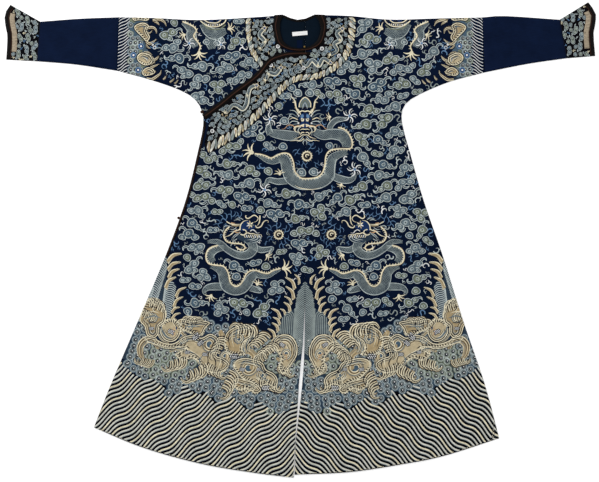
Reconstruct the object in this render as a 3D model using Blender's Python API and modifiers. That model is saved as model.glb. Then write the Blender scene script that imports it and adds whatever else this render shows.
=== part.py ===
"""A Chinese dragon robe with horse-hoof cuffs, laid flat with its front up.

Metres, +Z up. +X is the wearer's left, +Y points to the neck, and the robe rests on z = 0.
Each half is one length of cloth folded over the shoulder: its back lies on the surface and its
front lies on the back. The right half's own front is the underlap. The front overlap is sewn to
the left half down the middle and closes to the wearer's right, on top of the underlap.
"""

import math
from collections import namedtuple

import bmesh
import bpy
from mathutils import Vector
from mathutils.geometry import delaunay_2d_cdt

# Cloth and its layers
CLOTH = 0.0016            # thickness of the embroidered silk with its lining
BAND = 0.0012             # thickness of the applied bands and strips
BINDING = 0.0020          # thickness of the padded bindings
GAP = 0.0003              # clearance at seams and between layers that touch
PUFF = 0.0005             # extra air between the layers away from the seams
OVERLAP_LIFT = 0.0021     # how far the left front rises at the middle to meet the overlap
PUFF_REACH = 0.12         # distance from a seam over which the puff comes in
LIFT_REACH = 0.20         # the same for the lift of the left front
SLEEVE_START = 0.30       # the lift fades out from here ...
SLEEVE_END = 0.55         # ... to here, across the sleeve and the skirt's side
FOLD_INSET = 0.0022       # a fold bulges this far past its line
FOLD_STEPS = 4            # facets round a fold

# Spacing of the points that the walls are made from
EDGE_STEP = 0.028
TRIM_STEP = 0.022
FRONT_GRID = 0.055
TRIM_GRID = 0.040
BACK_GRID = 0.200

# Widths of the trimmings
CUFF_BINDING_WIDTH = 0.0140
CUFF_STRIP_WIDTH = 0.0150
SIDE_BINDING_WIDTH = 0.0070
SIDE_BINDING_INSET = 0.0008
SIDE_BINDING_TOP = 0.3610    # it starts just below the overlap's bound edge
BACK_NECK_WIDTH = 0.0070
UNDERLAP_CLEARANCE = 0.012   # the underlap stops this far short of the middle
UNDERLAP_VENT_WIDTH = 0.030  # and this far short of the vent
UNDERLAP_SHORTER = 0.030     # and this far above the hem

# Outline. Each row gives the same place on the wearer's right side and on the left side.
Row = namedtuple("Row", "place right_x right_y left_x left_y")

FOLD_LINE = (  # the shoulder and the top of the sleeve, from the neck to the cuff's tip
    Row("neck", -0.062, 0.6810, 0.057, 0.6810),
    Row("shoulder", -0.152, 0.6745, 0.151, 0.6780),
    Row("upper arm", -0.304, 0.6670, 0.272, 0.6670),
    Row("elbow", -0.440, 0.6730, 0.400, 0.6705),
    Row("band end", -0.549, 0.6755, 0.552, 0.6750),
    Row("forearm", -0.667, 0.6710, 0.622, 0.6790),
    Row("wrist", -0.788, 0.6620, 0.787, 0.6680),
    Row("cuff tip", -0.878, 0.7130, 0.873, 0.7210),
)
SEAM_LINE = (  # the sleeve's lower seam and the side seam, from the cuff to the hem
    Row("cuff mouth", -0.891, 0.547, 0.894, 0.558),
    Row("wrist", -0.798, 0.542, 0.808, 0.551),
    Row("forearm", -0.680, 0.532, 0.690, 0.534),
    Row("band end", -0.554, 0.513, 0.559, 0.508),
    Row("elbow", -0.455, 0.486, 0.454, 0.480),
    Row("upper arm", -0.364, 0.454, 0.363, 0.442),
    Row("armpit outer", -0.319, 0.426, 0.319, 0.412),
    Row("armpit", -0.297, 0.388, 0.307, 0.376),
    Row("armpit inner", -0.294, 0.345, 0.313, 0.335),
    Row("chest", -0.310, 0.267, 0.332, 0.267),
    Row("waist", -0.347, 0.120, 0.374, 0.120),
    Row("hip", -0.408, -0.048, 0.432, -0.048),
    Row("thigh", -0.490, -0.242, 0.493, -0.242),
    Row("knee", -0.573, -0.436, 0.559, -0.436),
    Row("hem corner", -0.625, -0.568, 0.603, -0.601),
)
HEM_LINE = (  # from the side to the vent
    Row("hem corner", -0.625, -0.568, 0.603, -0.601),
    Row("outer", -0.473, -0.630, 0.436, -0.654),
    Row("middle", -0.304, -0.677, 0.311, -0.679),
    Row("inner", -0.149, -0.704, 0.151, -0.703),
    Row("vent", -0.021, -0.720, -0.017, -0.711),
)
CUFF_MOUTH = (  # from the cuff's tip to its seam
    Row("cuff tip", -0.878, 0.713, 0.873, 0.721),
    Row("point", -0.891, 0.694, 0.886, 0.703),
    Row("flare", -0.896, 0.673, 0.896, 0.684),
    Row("flare end", -0.893, 0.648, 0.894, 0.653),
    Row("waist", -0.888, 0.624, 0.889, 0.628),
    Row("lower", -0.888, 0.594, 0.890, 0.604),
    Row("cuff mouth", -0.891, 0.547, 0.894, 0.558),
)
NECK_INNER = (  # inner edge of the neck binding, from the shoulder to the throat
    Row("shoulder", -0.051, 0.6830, 0.041, 0.6830),
    Row("upper", -0.060, 0.6620, 0.057, 0.6640),
    Row("side", -0.0615, 0.6400, 0.0625, 0.6400),
    Row("lower", -0.052, 0.6030, 0.052, 0.6050),
    Row("bottom", -0.028, 0.5850, 0.028, 0.5860),
    Row("throat", -0.0002, 0.5805, 0.0002, 0.5805),
)
NECK_OUTER = (  # its outer edge
    Row("shoulder", -0.078, 0.6815, 0.075, 0.6820),
    Row("upper", -0.081, 0.6600, 0.080, 0.6600),
    Row("side", -0.0815, 0.6380, 0.0805, 0.6380),
    Row("lower", -0.069, 0.5940, 0.067, 0.5950),
    Row("bottom", -0.036, 0.5760, 0.034, 0.5765),
    Row("throat", -0.0002, 0.5715, 0.0002, 0.5715),
)

Middle = namedtuple("Middle", "height x opening")
MIDDLE_LINE = (  # the centre seam, and the vent that opens below it
    Middle(0.700, 0.0158, 0.0003),
    Middle(-0.200, 0.0145, 0.0003),
    Middle(-0.318, 0.0105, 0.0050),
    Middle(-0.373, 0.0065, 0.0090),
    Middle(-0.439, 0.0010, 0.0100),
    Middle(-0.503, -0.0040, 0.0060),
    Middle(-0.579, -0.0115, 0.0030),
    Middle(-0.615, -0.0150, 0.0010),
    Middle(-0.730, -0.0188, 0.0034),
)
VENT_TOP = -0.200

Strip = namedtuple("Strip", "x y width")
DIAGONAL = (  # the overlap's bound edge, from the throat to the wearer's right armpit
    Strip(0.030, 0.5645, 0.011),
    Strip(0.000, 0.5650, 0.012),
    Strip(-0.034, 0.5630, 0.014),
    Strip(-0.066, 0.5550, 0.017),
    Strip(-0.093, 0.5410, 0.018),
    Strip(-0.132, 0.4950, 0.018),
    Strip(-0.197, 0.4460, 0.018),
    Strip(-0.240, 0.4110, 0.018),
    Strip(-0.292, 0.3720, 0.018),
)
EDGING_LEFT = (  # brocade edging of the collar band: over the left shoulder, then down the overlap
    Strip(0.155, 0.6745, 0.025),
    Strip(0.157, 0.6420, 0.024),
    Strip(0.151, 0.5930, 0.023),
    Strip(0.131, 0.5500, 0.022),
    Strip(0.093, 0.5160, 0.021),
    Strip(0.047, 0.4960, 0.021),
    Strip(0.000, 0.4920, 0.021),
    Strip(-0.036, 0.4770, 0.021),
    Strip(-0.072, 0.4430, 0.022),
    Strip(-0.126, 0.3840, 0.024),
    Strip(-0.190, 0.3290, 0.028),
    Strip(-0.240, 0.2990, 0.032),
    Strip(-0.283, 0.2775, 0.034),
)
EDGING_RIGHT = (  # the edging of the collar band on the right shoulder
    Strip(-0.156, 0.6710, 0.021),
    Strip(-0.157, 0.6360, 0.020),
    Strip(-0.152, 0.6000, 0.020),
    Strip(-0.142, 0.5680, 0.020),
    Strip(-0.113, 0.5280, 0.019),
)
BACK_NECK = (  # upper edge of the back, between the shoulder points
    (-0.050, 0.6820),
    (-0.030, 0.6730),
    (-0.008, 0.6675),
    (0.018, 0.6715),
    (0.040, 0.6820),
)

# Fastenings and the label
ARM_BUTTON = (-0.2985, 0.3875)
SIDE_BUTTON = (-0.3680, 0.0670)
NECK_BUTTON = (0.0130, 0.5852)
BUTTON_RADIUS = 0.0045
NECK_BUTTON_RADIUS = 0.0032
CORD_RADIUS = 0.0015
LOOP_RADIUS = 0.0054
LABEL_THICKNESS = 0.0010
Box = namedtuple("Box", "x y length width angle")
NECK_LABEL = Box(-0.0010, 0.6260, 0.0460, 0.0120, 5)
NECK_TAB = Box(-0.0015, 0.5925, 0.0170, 0.0270, 0)

Ridge = namedtuple("Ridge", "x y angle length width height")
RIDGES = (  # soft creases of the cloth as it lies: centre, degrees from +X, half sizes, height
    Ridge(-0.235, 0.500, 62, 0.110, 0.030, 0.0010),
    Ridge(0.265, 0.500, 118, 0.120, 0.032, 0.0011),
    Ridge(0.215, 0.420, 150, 0.090, 0.028, 0.0007),
    Ridge(-0.670, 0.604, 4, 0.080, 0.028, 0.0009),
    Ridge(0.690, 0.610, -3, 0.075, 0.028, 0.0010),
    Ridge(-0.430, 0.590, 12, 0.090, 0.034, 0.0008),
    Ridge(0.440, 0.585, -10, 0.085, 0.034, 0.0008),
    Ridge(-0.440, -0.430, 66, 0.160, 0.040, 0.0013),
    Ridge(-0.250, -0.500, 78, 0.180, 0.036, 0.0010),
    Ridge(-0.110, -0.420, 86, 0.140, 0.034, 0.0008),
    Ridge(0.130, -0.460, 95, 0.170, 0.036, 0.0009),
    Ridge(0.290, -0.480, 104, 0.170, 0.036, 0.0011),
    Ridge(0.450, -0.450, 112, 0.150, 0.040, 0.0012),
    Ridge(-0.160, 0.020, 74, 0.150, 0.040, 0.0007),
    Ridge(0.210, 0.060, 104, 0.170, 0.042, 0.0008),
)

Colour = namedtuple("Colour", "red green blue roughness")
COLOURS = {  # linear base colours
    "navy silk": Colour(0.010, 0.020, 0.060, 0.45),
    "midnight silk": Colour(0.004, 0.010, 0.040, 0.50),
    "black silk": Colour(0.006, 0.005, 0.007, 0.50),
    "dark brown silk": Colour(0.020, 0.008, 0.008, 0.55),
    "cream brocade": Colour(0.520, 0.440, 0.330, 0.50),
    "white label": Colour(0.850, 0.850, 0.850, 0.60),
    "brass": Colour(0.420, 0.280, 0.120, 0.35),
}


def ease(amount):
    """Rises smoothly from 0 to 1 as amount does."""
    amount = min(1.0, max(0.0, amount))
    return amount * amount * (3.0 - 2.0 * amount)


def smooth_line(points, step):
    """A Catmull-Rom curve through the points, with a point about every step."""
    points = [Vector(point) for point in points]
    ends = [2 * points[0] - points[1]] + points + [2 * points[-1] - points[-2]]
    line = []
    for before, start, end, after in zip(ends, ends[1:], ends[2:], ends[3:]):
        count = max(1, math.ceil((end - start).length / step - 0.2))
        for index in range(count):
            t = index / count
            bend = (2 * before - 5 * start + 4 * end - after) * t * t
            twist = (3 * start - before - 3 * end + after) * t * t * t
            line.append(start + 0.5 * ((end - before) * t + bend + twist))
    return line + [points[-1]]


def side_points(rows, side, first=None, last=None):
    """The points of one side from a table of rows, between two named places."""
    places = [row.place for row in rows]
    start = places.index(first) if first else 0
    stop = places.index(last) if last else len(rows) - 1
    points = []
    for row in rows[start : stop + 1]:
        points.append((row.right_x, row.right_y) if side == "right" else (row.left_x, row.left_y))
    return points


def side_line(rows, side, first=None, last=None, step=EDGE_STEP):
    return smooth_line(side_points(rows, side, first, last), step)


def shorten(line, start=0.0, end=0.0):
    """The line with its two end points drawn in along it."""
    line = [point.copy() for point in line]
    line[0] += (line[1] - line[0]).normalized() * start
    line[-1] += (line[-2] - line[-1]).normalized() * end
    return line


def below(line, height):
    """The part of a line that lies below a height, cut there."""
    kept = [point for point in line if point.y < height]
    last = line[line.index(kept[0]) - 1]
    part = (last.y - height) / (last.y - kept[0].y)
    return [last.lerp(kept[0], part)] + kept


def shift_line(line, distances):
    """The line moved to its left by a distance for each point, or one for all."""
    if isinstance(distances, float):
        distances = [distances] * len(line)
    shifted = []
    for index, (point, distance) in enumerate(zip(line, distances)):
        along = line[min(index + 1, len(line) - 1)] - line[max(index - 1, 0)]
        shifted.append(point + Vector((-along.y, along.x)).normalized() * distance)
    return shifted


def nearest_on_line(point, line):
    """Distance from a point to the line."""
    nearest = math.inf
    for start, end in zip(line, line[1:]):
        along = end - start
        part = min(1.0, max(0.0, (point - start).dot(along) / along.length_squared))
        nearest = min(nearest, (point - start - along * part).length)
    return nearest


def inside(point, outline):
    """True if the point is inside the closed outline."""
    within = False
    for start, end in zip(outline, outline[1:] + outline[:1]):
        if (start.y > point.y) != (end.y > point.y):
            crossing = start.x + (point.y - start.y) * (end.x - start.x) / (end.y - start.y)
            within ^= point.x < crossing
    return within


SEAMS = {side: side_line(SEAM_LINE, side) for side in ("right", "left")}


def middle_at(height):
    """The centre line's x and the opening between its two edges at a height."""
    for upper, lower in zip(MIDDLE_LINE, MIDDLE_LINE[1:]):
        if height >= lower.height:
            break
    part = (upper.height - height) / (upper.height - lower.height)
    return (
        upper.x + (lower.x - upper.x) * part,
        upper.opening + (lower.opening - upper.opening) * part,
    )


def middle_edge(side, top, bottom, clearance=0.0):
    """One side's edge along the centre line, from its top down to its bottom."""
    heights = [top] + [row.height for row in MIDDLE_LINE if bottom < row.height < top] + [bottom]
    sign = -1 if side == "right" else 1
    line = []
    for upper, lower in zip(heights, heights[1:] + [None]):
        stretch = 0 if lower is None else upper - lower
        count = max(1, math.ceil(stretch / EDGE_STEP - 0.5))
        for index in range(count):
            height = upper - stretch * index / count
            x, opening = middle_at(height)
            line.append(Vector((x + sign * (opening / 2 + clearance), height)))
    return line


def relief(point):
    """How far the soft creases raise the front at a point."""
    height = 0.0
    for ridge in RIDGES:
        angle = math.radians(ridge.angle)
        offset = point - Vector((ridge.x, ridge.y))
        along = (offset.x * math.cos(angle) + offset.y * math.sin(angle)) / ridge.length
        across = (offset.y * math.cos(angle) - offset.x * math.sin(angle)) / ridge.width
        height += ridge.height * math.exp(-0.5 * (along * along + across * across))
    return height


def right_front(point):
    """Underside of the right half's front and of the right sleeve."""
    seam = nearest_on_line(point, SEAMS["right"])
    return CLOTH + GAP + PUFF * ease(seam / PUFF_REACH) + relief(point)


def overlap_front(point):
    """Underside of the overlap, which lies on the right half's front."""
    seam = nearest_on_line(point, SEAMS["right"])
    return right_front(point) + CLOTH + GAP + 0.4 * PUFF * ease(seam / PUFF_REACH)


def left_front(point):
    """Underside of the left half's front and of the left sleeve."""
    seam = nearest_on_line(point, SEAMS["left"])
    fade = 1 - ease((point.x - SLEEVE_START) / (SLEEVE_END - SLEEVE_START))
    lift = OVERLAP_LIFT * ease(seam / LIFT_REACH) * fade
    return CLOTH + GAP + PUFF * ease(seam / PUFF_REACH) + lift + relief(point)


def top_front(point):
    """Underside of the cloth that shows, across the overlap and the left half."""
    return left_front(point) if point.x > middle_at(point.y)[0] else overlap_front(point)


def on_cloth(front):
    """Underside of what lies on a front."""
    return lambda point: front(point) + CLOTH + GAP


def on_back(point):
    """Underside of what lies on the back's lining inside the neck."""
    return CLOTH + GAP


def finish(name, surface, material, thickness):
    """Makes the named object from a bmesh surface, thickened to a wall."""
    mesh = bpy.data.meshes.new(name)
    surface.to_mesh(mesh)
    surface.free()
    piece = bpy.data.objects.new(name, mesh)
    piece.data.materials.append(material)
    COLLECTION.objects.link(piece)
    wall = piece.modifiers.new("Wall", "SOLIDIFY")
    wall.thickness = thickness
    wall.offset = 0.0
    wall.use_even_offset = True
    return piece


def add_sheet(surface, outline, height, grid, facing_up=True):
    """Fills an outline with triangles at the height function; returns its outline's vertices."""
    points = list(outline)
    edges = [(index, (index + 1) % len(points)) for index in range(len(points))]
    low_x = min(point.x for point in outline)
    high_x = max(point.x for point in outline)
    low_y = min(point.y for point in outline)
    high_y = max(point.y for point in outline)
    for row in range(math.ceil((high_y - low_y) / grid)):
        for column in range(math.ceil((high_x - low_x) / grid)):
            shift = 0.5 if row % 2 else 0.0
            point = Vector((low_x + (column + shift) * grid, low_y + (row + 0.5) * grid))
            if inside(point, outline):
                if nearest_on_line(point, outline + outline[:1]) > 0.45 * grid:
                    points.append(point)
    filled, _, faces, origins, _, _ = delaunay_2d_cdt(points, edges, [], 1, 1e-7)
    vertices = [surface.verts.new((point.x, point.y, height(point))) for point in filled]
    for face in faces:
        corners = [vertices[index] for index in face]
        surface.faces.new(corners if facing_up else corners[::-1])
    found = {origin: vertex for vertex, sources in zip(vertices, origins) for origin in sources}
    return [found[index] for index in range(len(outline))]


def add_fold(surface, front, back, outward):
    """Joins a front edge to a back edge with half a round turn; outward is on the line's left."""
    line = [Vector(vertex.co.xy) for vertex in front]
    rows = []
    for index, (upper, lower) in enumerate(zip(front, back)):
        along = line[min(index + 1, len(line) - 1)] - line[max(index - 1, 0)]
        side = Vector((-along.y, along.x, 0)).normalized() * outward
        radius = (upper.co.z - lower.co.z) / 2
        centre = Vector((upper.co.x, upper.co.y, lower.co.z + radius))
        row = [upper]
        for step in range(1, FOLD_STEPS):
            angle = math.pi * (0.5 - step / FOLD_STEPS)
            offset = side * math.cos(angle) + Vector((0, 0, math.sin(angle)))
            row.append(surface.verts.new(centre + offset * radius))
        rows.append(row + [lower])
    for row, following in zip(rows, rows[1:]):
        for quad in zip(row, row[1:], following[1:], following):
            surface.faces.new(quad if outward < 0 else quad[::-1])


def folded_piece(name, material, fold, front_rest, back_rest, front, thickness=CLOTH):
    """A front and a back that are one cloth, joined along the fold that both outlines start with.

    The fold runs away from the neck, so cloth lies to its right on the wearer's left side.
    """
    surface = bmesh.new()
    outward = 1 if fold[-1].x > fold[0].x else -1
    fold = shift_line(fold, -outward * FOLD_INSET)
    middle = thickness / 2
    upper = add_sheet(surface, fold + front_rest, lambda p: front(p) + middle, FRONT_GRID)
    lower = add_sheet(surface, fold + back_rest, lambda p: middle, BACK_GRID, facing_up=False)
    add_fold(surface, upper[: len(fold)], lower[: len(fold)], outward)
    return finish(name, surface, material, thickness)


def flat_piece(name, material, outline, under, thickness, grid=FRONT_GRID):
    """A single layer lying at the height function under."""
    surface = bmesh.new()
    add_sheet(surface, outline, lambda point: under(point) + thickness / 2, grid)
    return finish(name, surface, material, thickness)


def strip_edges(rows, step=TRIM_STEP):
    """The left and right edges of a strip, from a table of centres and widths."""
    middle = smooth_line([(row.x, row.y, row.width) for row in rows], step)
    centre = [Vector(point.xy) for point in middle]
    left = shift_line(centre, [point.z / 2 for point in middle])
    right = shift_line(centre, [-point.z / 2 for point in middle])
    return left, right


def strip_piece(name, material, left, right, under, thickness):
    """A strip between two edges that have the same number of points."""
    surface = bmesh.new()
    rows = []
    for start, end in zip(left, right):
        points = [start, (start + end) / 2, end]
        rows.append([surface.verts.new((p.x, p.y, under(p) + thickness / 2)) for p in points])
    for row, following in zip(rows, rows[1:]):
        for quad in zip(row, row[1:], following[1:], following):
            surface.faces.new(quad)
    bmesh.ops.recalc_face_normals(surface, faces=surface.faces)
    return finish(name, surface, material, thickness)


def neckline(side):
    """The front's cut edge at the neck, under its binding, from the shoulder to the throat."""
    inner = side_line(NECK_INNER, side, step=TRIM_STEP)
    outer = side_line(NECK_OUTER, side, step=TRIM_STEP)
    return [(a + b) / 2 for a, b in zip(inner, outer)]


def half_back(side, fold):
    """The outline of a half's back after its fold: sleeve seam, side, hem, middle and neck."""
    seam = shorten(side_line(SEAM_LINE, side, "band end", "hem corner"), start=GAP / 2)
    hem = side_line(HEM_LINE, side)
    neck = smooth_line(BACK_NECK, TRIM_STEP)
    middle_x = middle_at(BACK_NECK[0][1])[0]
    past = next(index for index, point in enumerate(neck) if point.x > middle_x)
    start, end = neck[past - 1], neck[past]
    top = start.lerp(end, (middle_x - start.x) / (end.x - start.x)).y
    sign = -1 if side == "right" else 1
    neck = [point for point in neck if sign * (point.x - middle_x) > 0.004]
    middle = middle_edge(side, top, hem[-1].y)
    return seam + hem[1:-1] + middle[::-1] + (neck[::-1] if side == "right" else neck)


def make_halves(material):
    """The two lengths of cloth that hang from the shoulders."""
    for side, front in (("left", left_front), ("right", right_front)):
        fold = shorten(side_line(FOLD_LINE, side, "neck", "band end"), end=GAP / 2)
        seam = shorten(side_line(SEAM_LINE, side, "band end", "hem corner"), start=GAP / 2)
        neck = neckline(side)[1:]
        if side == "left":
            hem = side_line(HEM_LINE, side)
            middle = middle_edge(side, 0.5740, hem[-1].y)
            neck = [point for point in neck if point.x > middle[0].x + 0.004]
            rest = seam + hem[1:-1] + middle[::-1] + neck[::-1]
        else:
            hem = shift_line(side_line(HEM_LINE, side), UNDERLAP_SHORTER)
            hem = [point for point in hem if point.x < -UNDERLAP_VENT_WIDTH - 0.02]
            seam = [point for point in seam if point.y > hem[0].y + 0.01]
            middle = middle_edge(side, 0.5720, VENT_TOP, UNDERLAP_CLEARANCE)
            vent = middle_edge(side, VENT_TOP - 0.05, hem[-1].y, UNDERLAP_VENT_WIDTH)
            rest = seam + hem + vent[::-1] + middle[::-1] + neck[::-1]
        folded_piece(side + "_half", material, fold, rest, half_back(side, fold), front)


def make_overlap(material):
    """The front overlap, from the centre seam to the wearer's right side seam."""
    centre = smooth_line([(row.x, row.y) for row in DIAGONAL], TRIM_STEP)
    middle_x = middle_at(0.56)[0]
    edge = [point for point in shift_line(centre, 0.003) if point.x < middle_x - 0.006]
    seam = side_line(SEAM_LINE, "right", "armpit", "hem corner")
    seam = [point for point in seam if point.y < edge[-1].y - 0.015]
    hem = side_line(HEM_LINE, "right")
    middle = middle_edge("right", edge[0].y, hem[-1].y)
    outline = edge + seam + hem[1:-1] + middle[::-1]
    flat_piece("front_overlap", material, outline, overlap_front, CLOTH)


def make_sleeves(extension_material, cuff_material, binding_material, strip_material):
    """Plain sleeve extensions and horse-hoof cuffs, each a tube folded at its top."""
    for side, front in (("left", left_front), ("right", right_front)):
        half_gap = GAP / 2
        fold = shorten(side_line(FOLD_LINE, side, "band end", "wrist"), half_gap, half_gap)
        seam = shorten(side_line(SEAM_LINE, side, "wrist", "band end"), half_gap, half_gap)
        folded_piece(side + "_sleeve_extension", extension_material, fold, seam, seam, front)

        inward = -1 if side == "left" else 1
        mouth = side_line(CUFF_MOUTH, side, step=TRIM_STEP)
        top = side_line(FOLD_LINE, side, "wrist", "cuff tip")
        bottom = side_line(SEAM_LINE, side, "cuff mouth", "wrist")
        inner = shift_line(mouth, inward * CUFF_BINDING_WIDTH)
        inner[0] = shorten(top, end=CUFF_BINDING_WIDTH)[-1]
        inner[-1] = shorten(bottom, start=CUFF_BINDING_WIDTH)[0]
        cuff_edge = shift_line(inner, inward * GAP)
        cuff_edge[0] = shorten(top, end=CUFF_BINDING_WIDTH + GAP)[-1]
        cuff_edge[-1] = shorten(bottom, start=CUFF_BINDING_WIDTH + GAP)[0]
        cuff_fold = shorten(top, start=half_gap)[:-1] + cuff_edge[:1]
        cuff_rest = cuff_edge[1:] + shorten(bottom, end=half_gap)[1:]
        folded_piece(side + "_cuff", cuff_material, cuff_fold, cuff_rest, cuff_rest, front)

        tip = [inner[0], mouth[0]]
        rest = mouth[1:] + inner[:0:-1]
        folded_piece(side + "_cuff_binding", binding_material, tip, rest, rest, front)

        near = shift_line(cuff_edge, inward * 0.0010)[1:-1]
        far = shift_line(near, inward * CUFF_STRIP_WIDTH)
        strip_piece(side + "_cuff_strip", strip_material, near, far, on_cloth(front), BAND)


def make_bindings(material):
    """The bound neck, the overlap's bound edge and the strip down its side."""
    for side, front in (("right", right_front), ("left", left_front)):
        inner = side_line(NECK_INNER, side, step=TRIM_STEP)
        outer = side_line(NECK_OUTER, side, step=TRIM_STEP)
        strip_piece("neck_binding_" + side, material, inner, outer, on_cloth(front), BINDING)
    upper = smooth_line(BACK_NECK, TRIM_STEP)
    lower = shift_line(upper, -BACK_NECK_WIDTH)
    strip_piece("back_neck_binding", material, upper, lower, on_back, BAND)
    lower, upper = strip_edges(DIAGONAL)
    strip_piece("overlap_binding", material, lower, upper, on_cloth(overlap_front), BINDING)
    seam = below(side_line(SEAM_LINE, "right", "armpit", "hip"), SIDE_BINDING_TOP)
    outer = shift_line(seam, SIDE_BINDING_INSET)
    inner = shift_line(seam, SIDE_BINDING_INSET + SIDE_BINDING_WIDTH)
    strip_piece("side_binding", material, outer, inner, on_cloth(overlap_front), BAND)


def make_collar(band_material, edging_material):
    """The collar band and its brocade edging, over the left front and on the right shoulder."""
    diagonal = smooth_line([(row.x, row.y) for row in DIAGONAL], TRIM_STEP)
    under = on_cloth(top_front)
    outer, inner = strip_edges(EDGING_LEFT)
    strip_piece("collar_edging_left", edging_material, outer, inner, under, BAND)
    neck = below(shift_line(side_line(NECK_OUTER, "left", step=TRIM_STEP), 0.0005), inner[0].y)
    neck = [point for point in neck if point.x > DIAGONAL[0].x + 0.004]
    lower, _ = strip_edges(DIAGONAL)
    lower = [point for point in shift_line(lower, GAP) if point.x > inner[-1].x + 0.006]
    outline = neck + lower + shift_line(inner, -GAP)[::-1]
    flat_piece("collar_band_left", band_material, outline[::-1], under, BAND, TRIM_GRID)

    under = on_cloth(right_front)
    inner, outer = strip_edges(EDGING_RIGHT)
    strip_piece("collar_edging_right", edging_material, inner, outer, under, BAND)
    neck = below(shift_line(side_line(NECK_OUTER, "right", step=TRIM_STEP), -0.0005), inner[0].y)
    neck = [point for point in neck if point.x < -0.046]
    tuck = [point for point in shift_line(diagonal, -0.002) if -0.100 < point.x < -0.050]
    outline = neck + tuck + shift_line(inner, GAP)[::-1]
    flat_piece("collar_band_right", band_material, outline, under, BAND, TRIM_GRID)


def make_round(name, material, place, radius, height, ring=0.0):
    """A ball, or a ring of cord, whose underside is at the height."""
    centre = (place[0], place[1], height + radius)
    if ring:
        bpy.ops.mesh.primitive_torus_add(
            location=centre,
            major_radius=ring,
            minor_radius=radius,
            major_segments=16,
            minor_segments=8,
        )
    else:
        bpy.ops.mesh.primitive_uv_sphere_add(
            location=centre, radius=radius, segments=12, ring_count=8
        )
    piece = bpy.context.object
    piece.name = name
    piece.data.name = name
    piece.data.materials.append(material)
    piece.data.shade_smooth()
    for collection in piece.users_collection:
        collection.objects.unlink(piece)
    COLLECTION.objects.link(piece)


def make_fastenings(cord_material, ball_material, tab_material, label_material):
    """Ball buttons in their loops at the armpit and the side, the neck's tab, and the label."""
    arm, side = Vector(ARM_BUTTON), Vector(SIDE_BUTTON)
    arm_height = on_cloth(right_front)(arm)
    side_height = on_cloth(overlap_front)(side) + BAND + GAP
    for name, place, height in (("arm", arm, arm_height), ("side", side, side_height)):
        make_round(name + "_loop", cord_material, place, CORD_RADIUS, height, LOOP_RADIUS)
        make_round(name + "_button", cord_material, place, BUTTON_RADIUS, height)
    neck = Vector(NECK_BUTTON)
    make_round("neck_button", ball_material, neck, NECK_BUTTON_RADIUS, on_back(neck))
    flat_piece("neck_tab", tab_material, box_outline(NECK_TAB), on_back, BAND)
    flat_piece("neck_label", label_material, box_outline(NECK_LABEL), on_back, LABEL_THICKNESS)


def box_outline(box):
    """The corners of a turned rectangle."""
    angle = math.radians(box.angle)
    along = Vector((math.cos(angle), math.sin(angle))) * box.length / 2
    across = Vector((-math.sin(angle), math.cos(angle))) * box.width / 2
    centre = Vector((box.x, box.y))
    corners = (-along - across, along - across, along + across, across - along)
    return [centre + corner for corner in corners]


def make_material(name):
    """A Principled material of one of the named colours."""
    colour = COLOURS[name]
    material = bpy.data.materials.new(name)
    material.use_nodes = True
    shader = material.node_tree.nodes["Principled BSDF"]
    shader.inputs["Base Color"].default_value = (colour.red, colour.green, colour.blue, 1)
    shader.inputs["Roughness"].default_value = colour.roughness
    return material


def main():
    materials = {name: make_material(name) for name in COLOURS}
    navy = materials["navy silk"]
    black = materials["black silk"]
    brown = materials["dark brown silk"]
    brocade = materials["cream brocade"]
    make_halves(navy)
    make_overlap(navy)
    make_sleeves(materials["midnight silk"], black, brown, brocade)
    make_bindings(brown)
    make_collar(black, brocade)
    make_fastenings(brown, materials["brass"], navy, materials["white label"])


for thing in list(bpy.data.objects):
    bpy.data.objects.remove(thing)
COLLECTION = bpy.data.collections.new("Dragon robe")
bpy.context.scene.collection.children.link(COLLECTION)
main()
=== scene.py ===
import math
import random
from collections import namedtuple

import bmesh
import bpy
from bpy.props import FloatProperty, FloatVectorProperty, IntProperty, PointerProperty
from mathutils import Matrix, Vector
from mathutils.bvhtree import BVHTree
from mathutils.kdtree import KDTree


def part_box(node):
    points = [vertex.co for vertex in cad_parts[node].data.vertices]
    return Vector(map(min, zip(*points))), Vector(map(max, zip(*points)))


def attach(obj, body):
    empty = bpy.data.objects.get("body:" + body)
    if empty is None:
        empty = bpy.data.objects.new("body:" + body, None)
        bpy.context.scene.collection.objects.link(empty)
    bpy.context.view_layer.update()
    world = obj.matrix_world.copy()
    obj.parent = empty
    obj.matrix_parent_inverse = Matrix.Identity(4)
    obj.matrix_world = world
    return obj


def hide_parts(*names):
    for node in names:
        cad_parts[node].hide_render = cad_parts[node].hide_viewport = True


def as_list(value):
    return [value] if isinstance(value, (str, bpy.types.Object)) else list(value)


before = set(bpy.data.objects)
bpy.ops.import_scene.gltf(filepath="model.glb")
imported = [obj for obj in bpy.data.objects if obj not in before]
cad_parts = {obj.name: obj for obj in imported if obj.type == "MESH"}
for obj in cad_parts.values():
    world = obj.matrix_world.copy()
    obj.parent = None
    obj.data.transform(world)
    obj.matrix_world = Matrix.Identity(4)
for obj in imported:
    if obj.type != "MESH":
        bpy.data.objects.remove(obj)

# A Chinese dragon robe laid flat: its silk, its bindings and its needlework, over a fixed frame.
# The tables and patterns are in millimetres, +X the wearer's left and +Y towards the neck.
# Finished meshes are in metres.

bl_info = {
    "name": "Chinese Dragon Robe",
    "version": (1, 0, 0),
    "blender": (4, 5, 0),
    "location": "View3D > Sidebar > Robe",
    "description": "Dresses a laid-out dragon robe in silk, bindings and needlework",
    "category": "Object",
}

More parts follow.
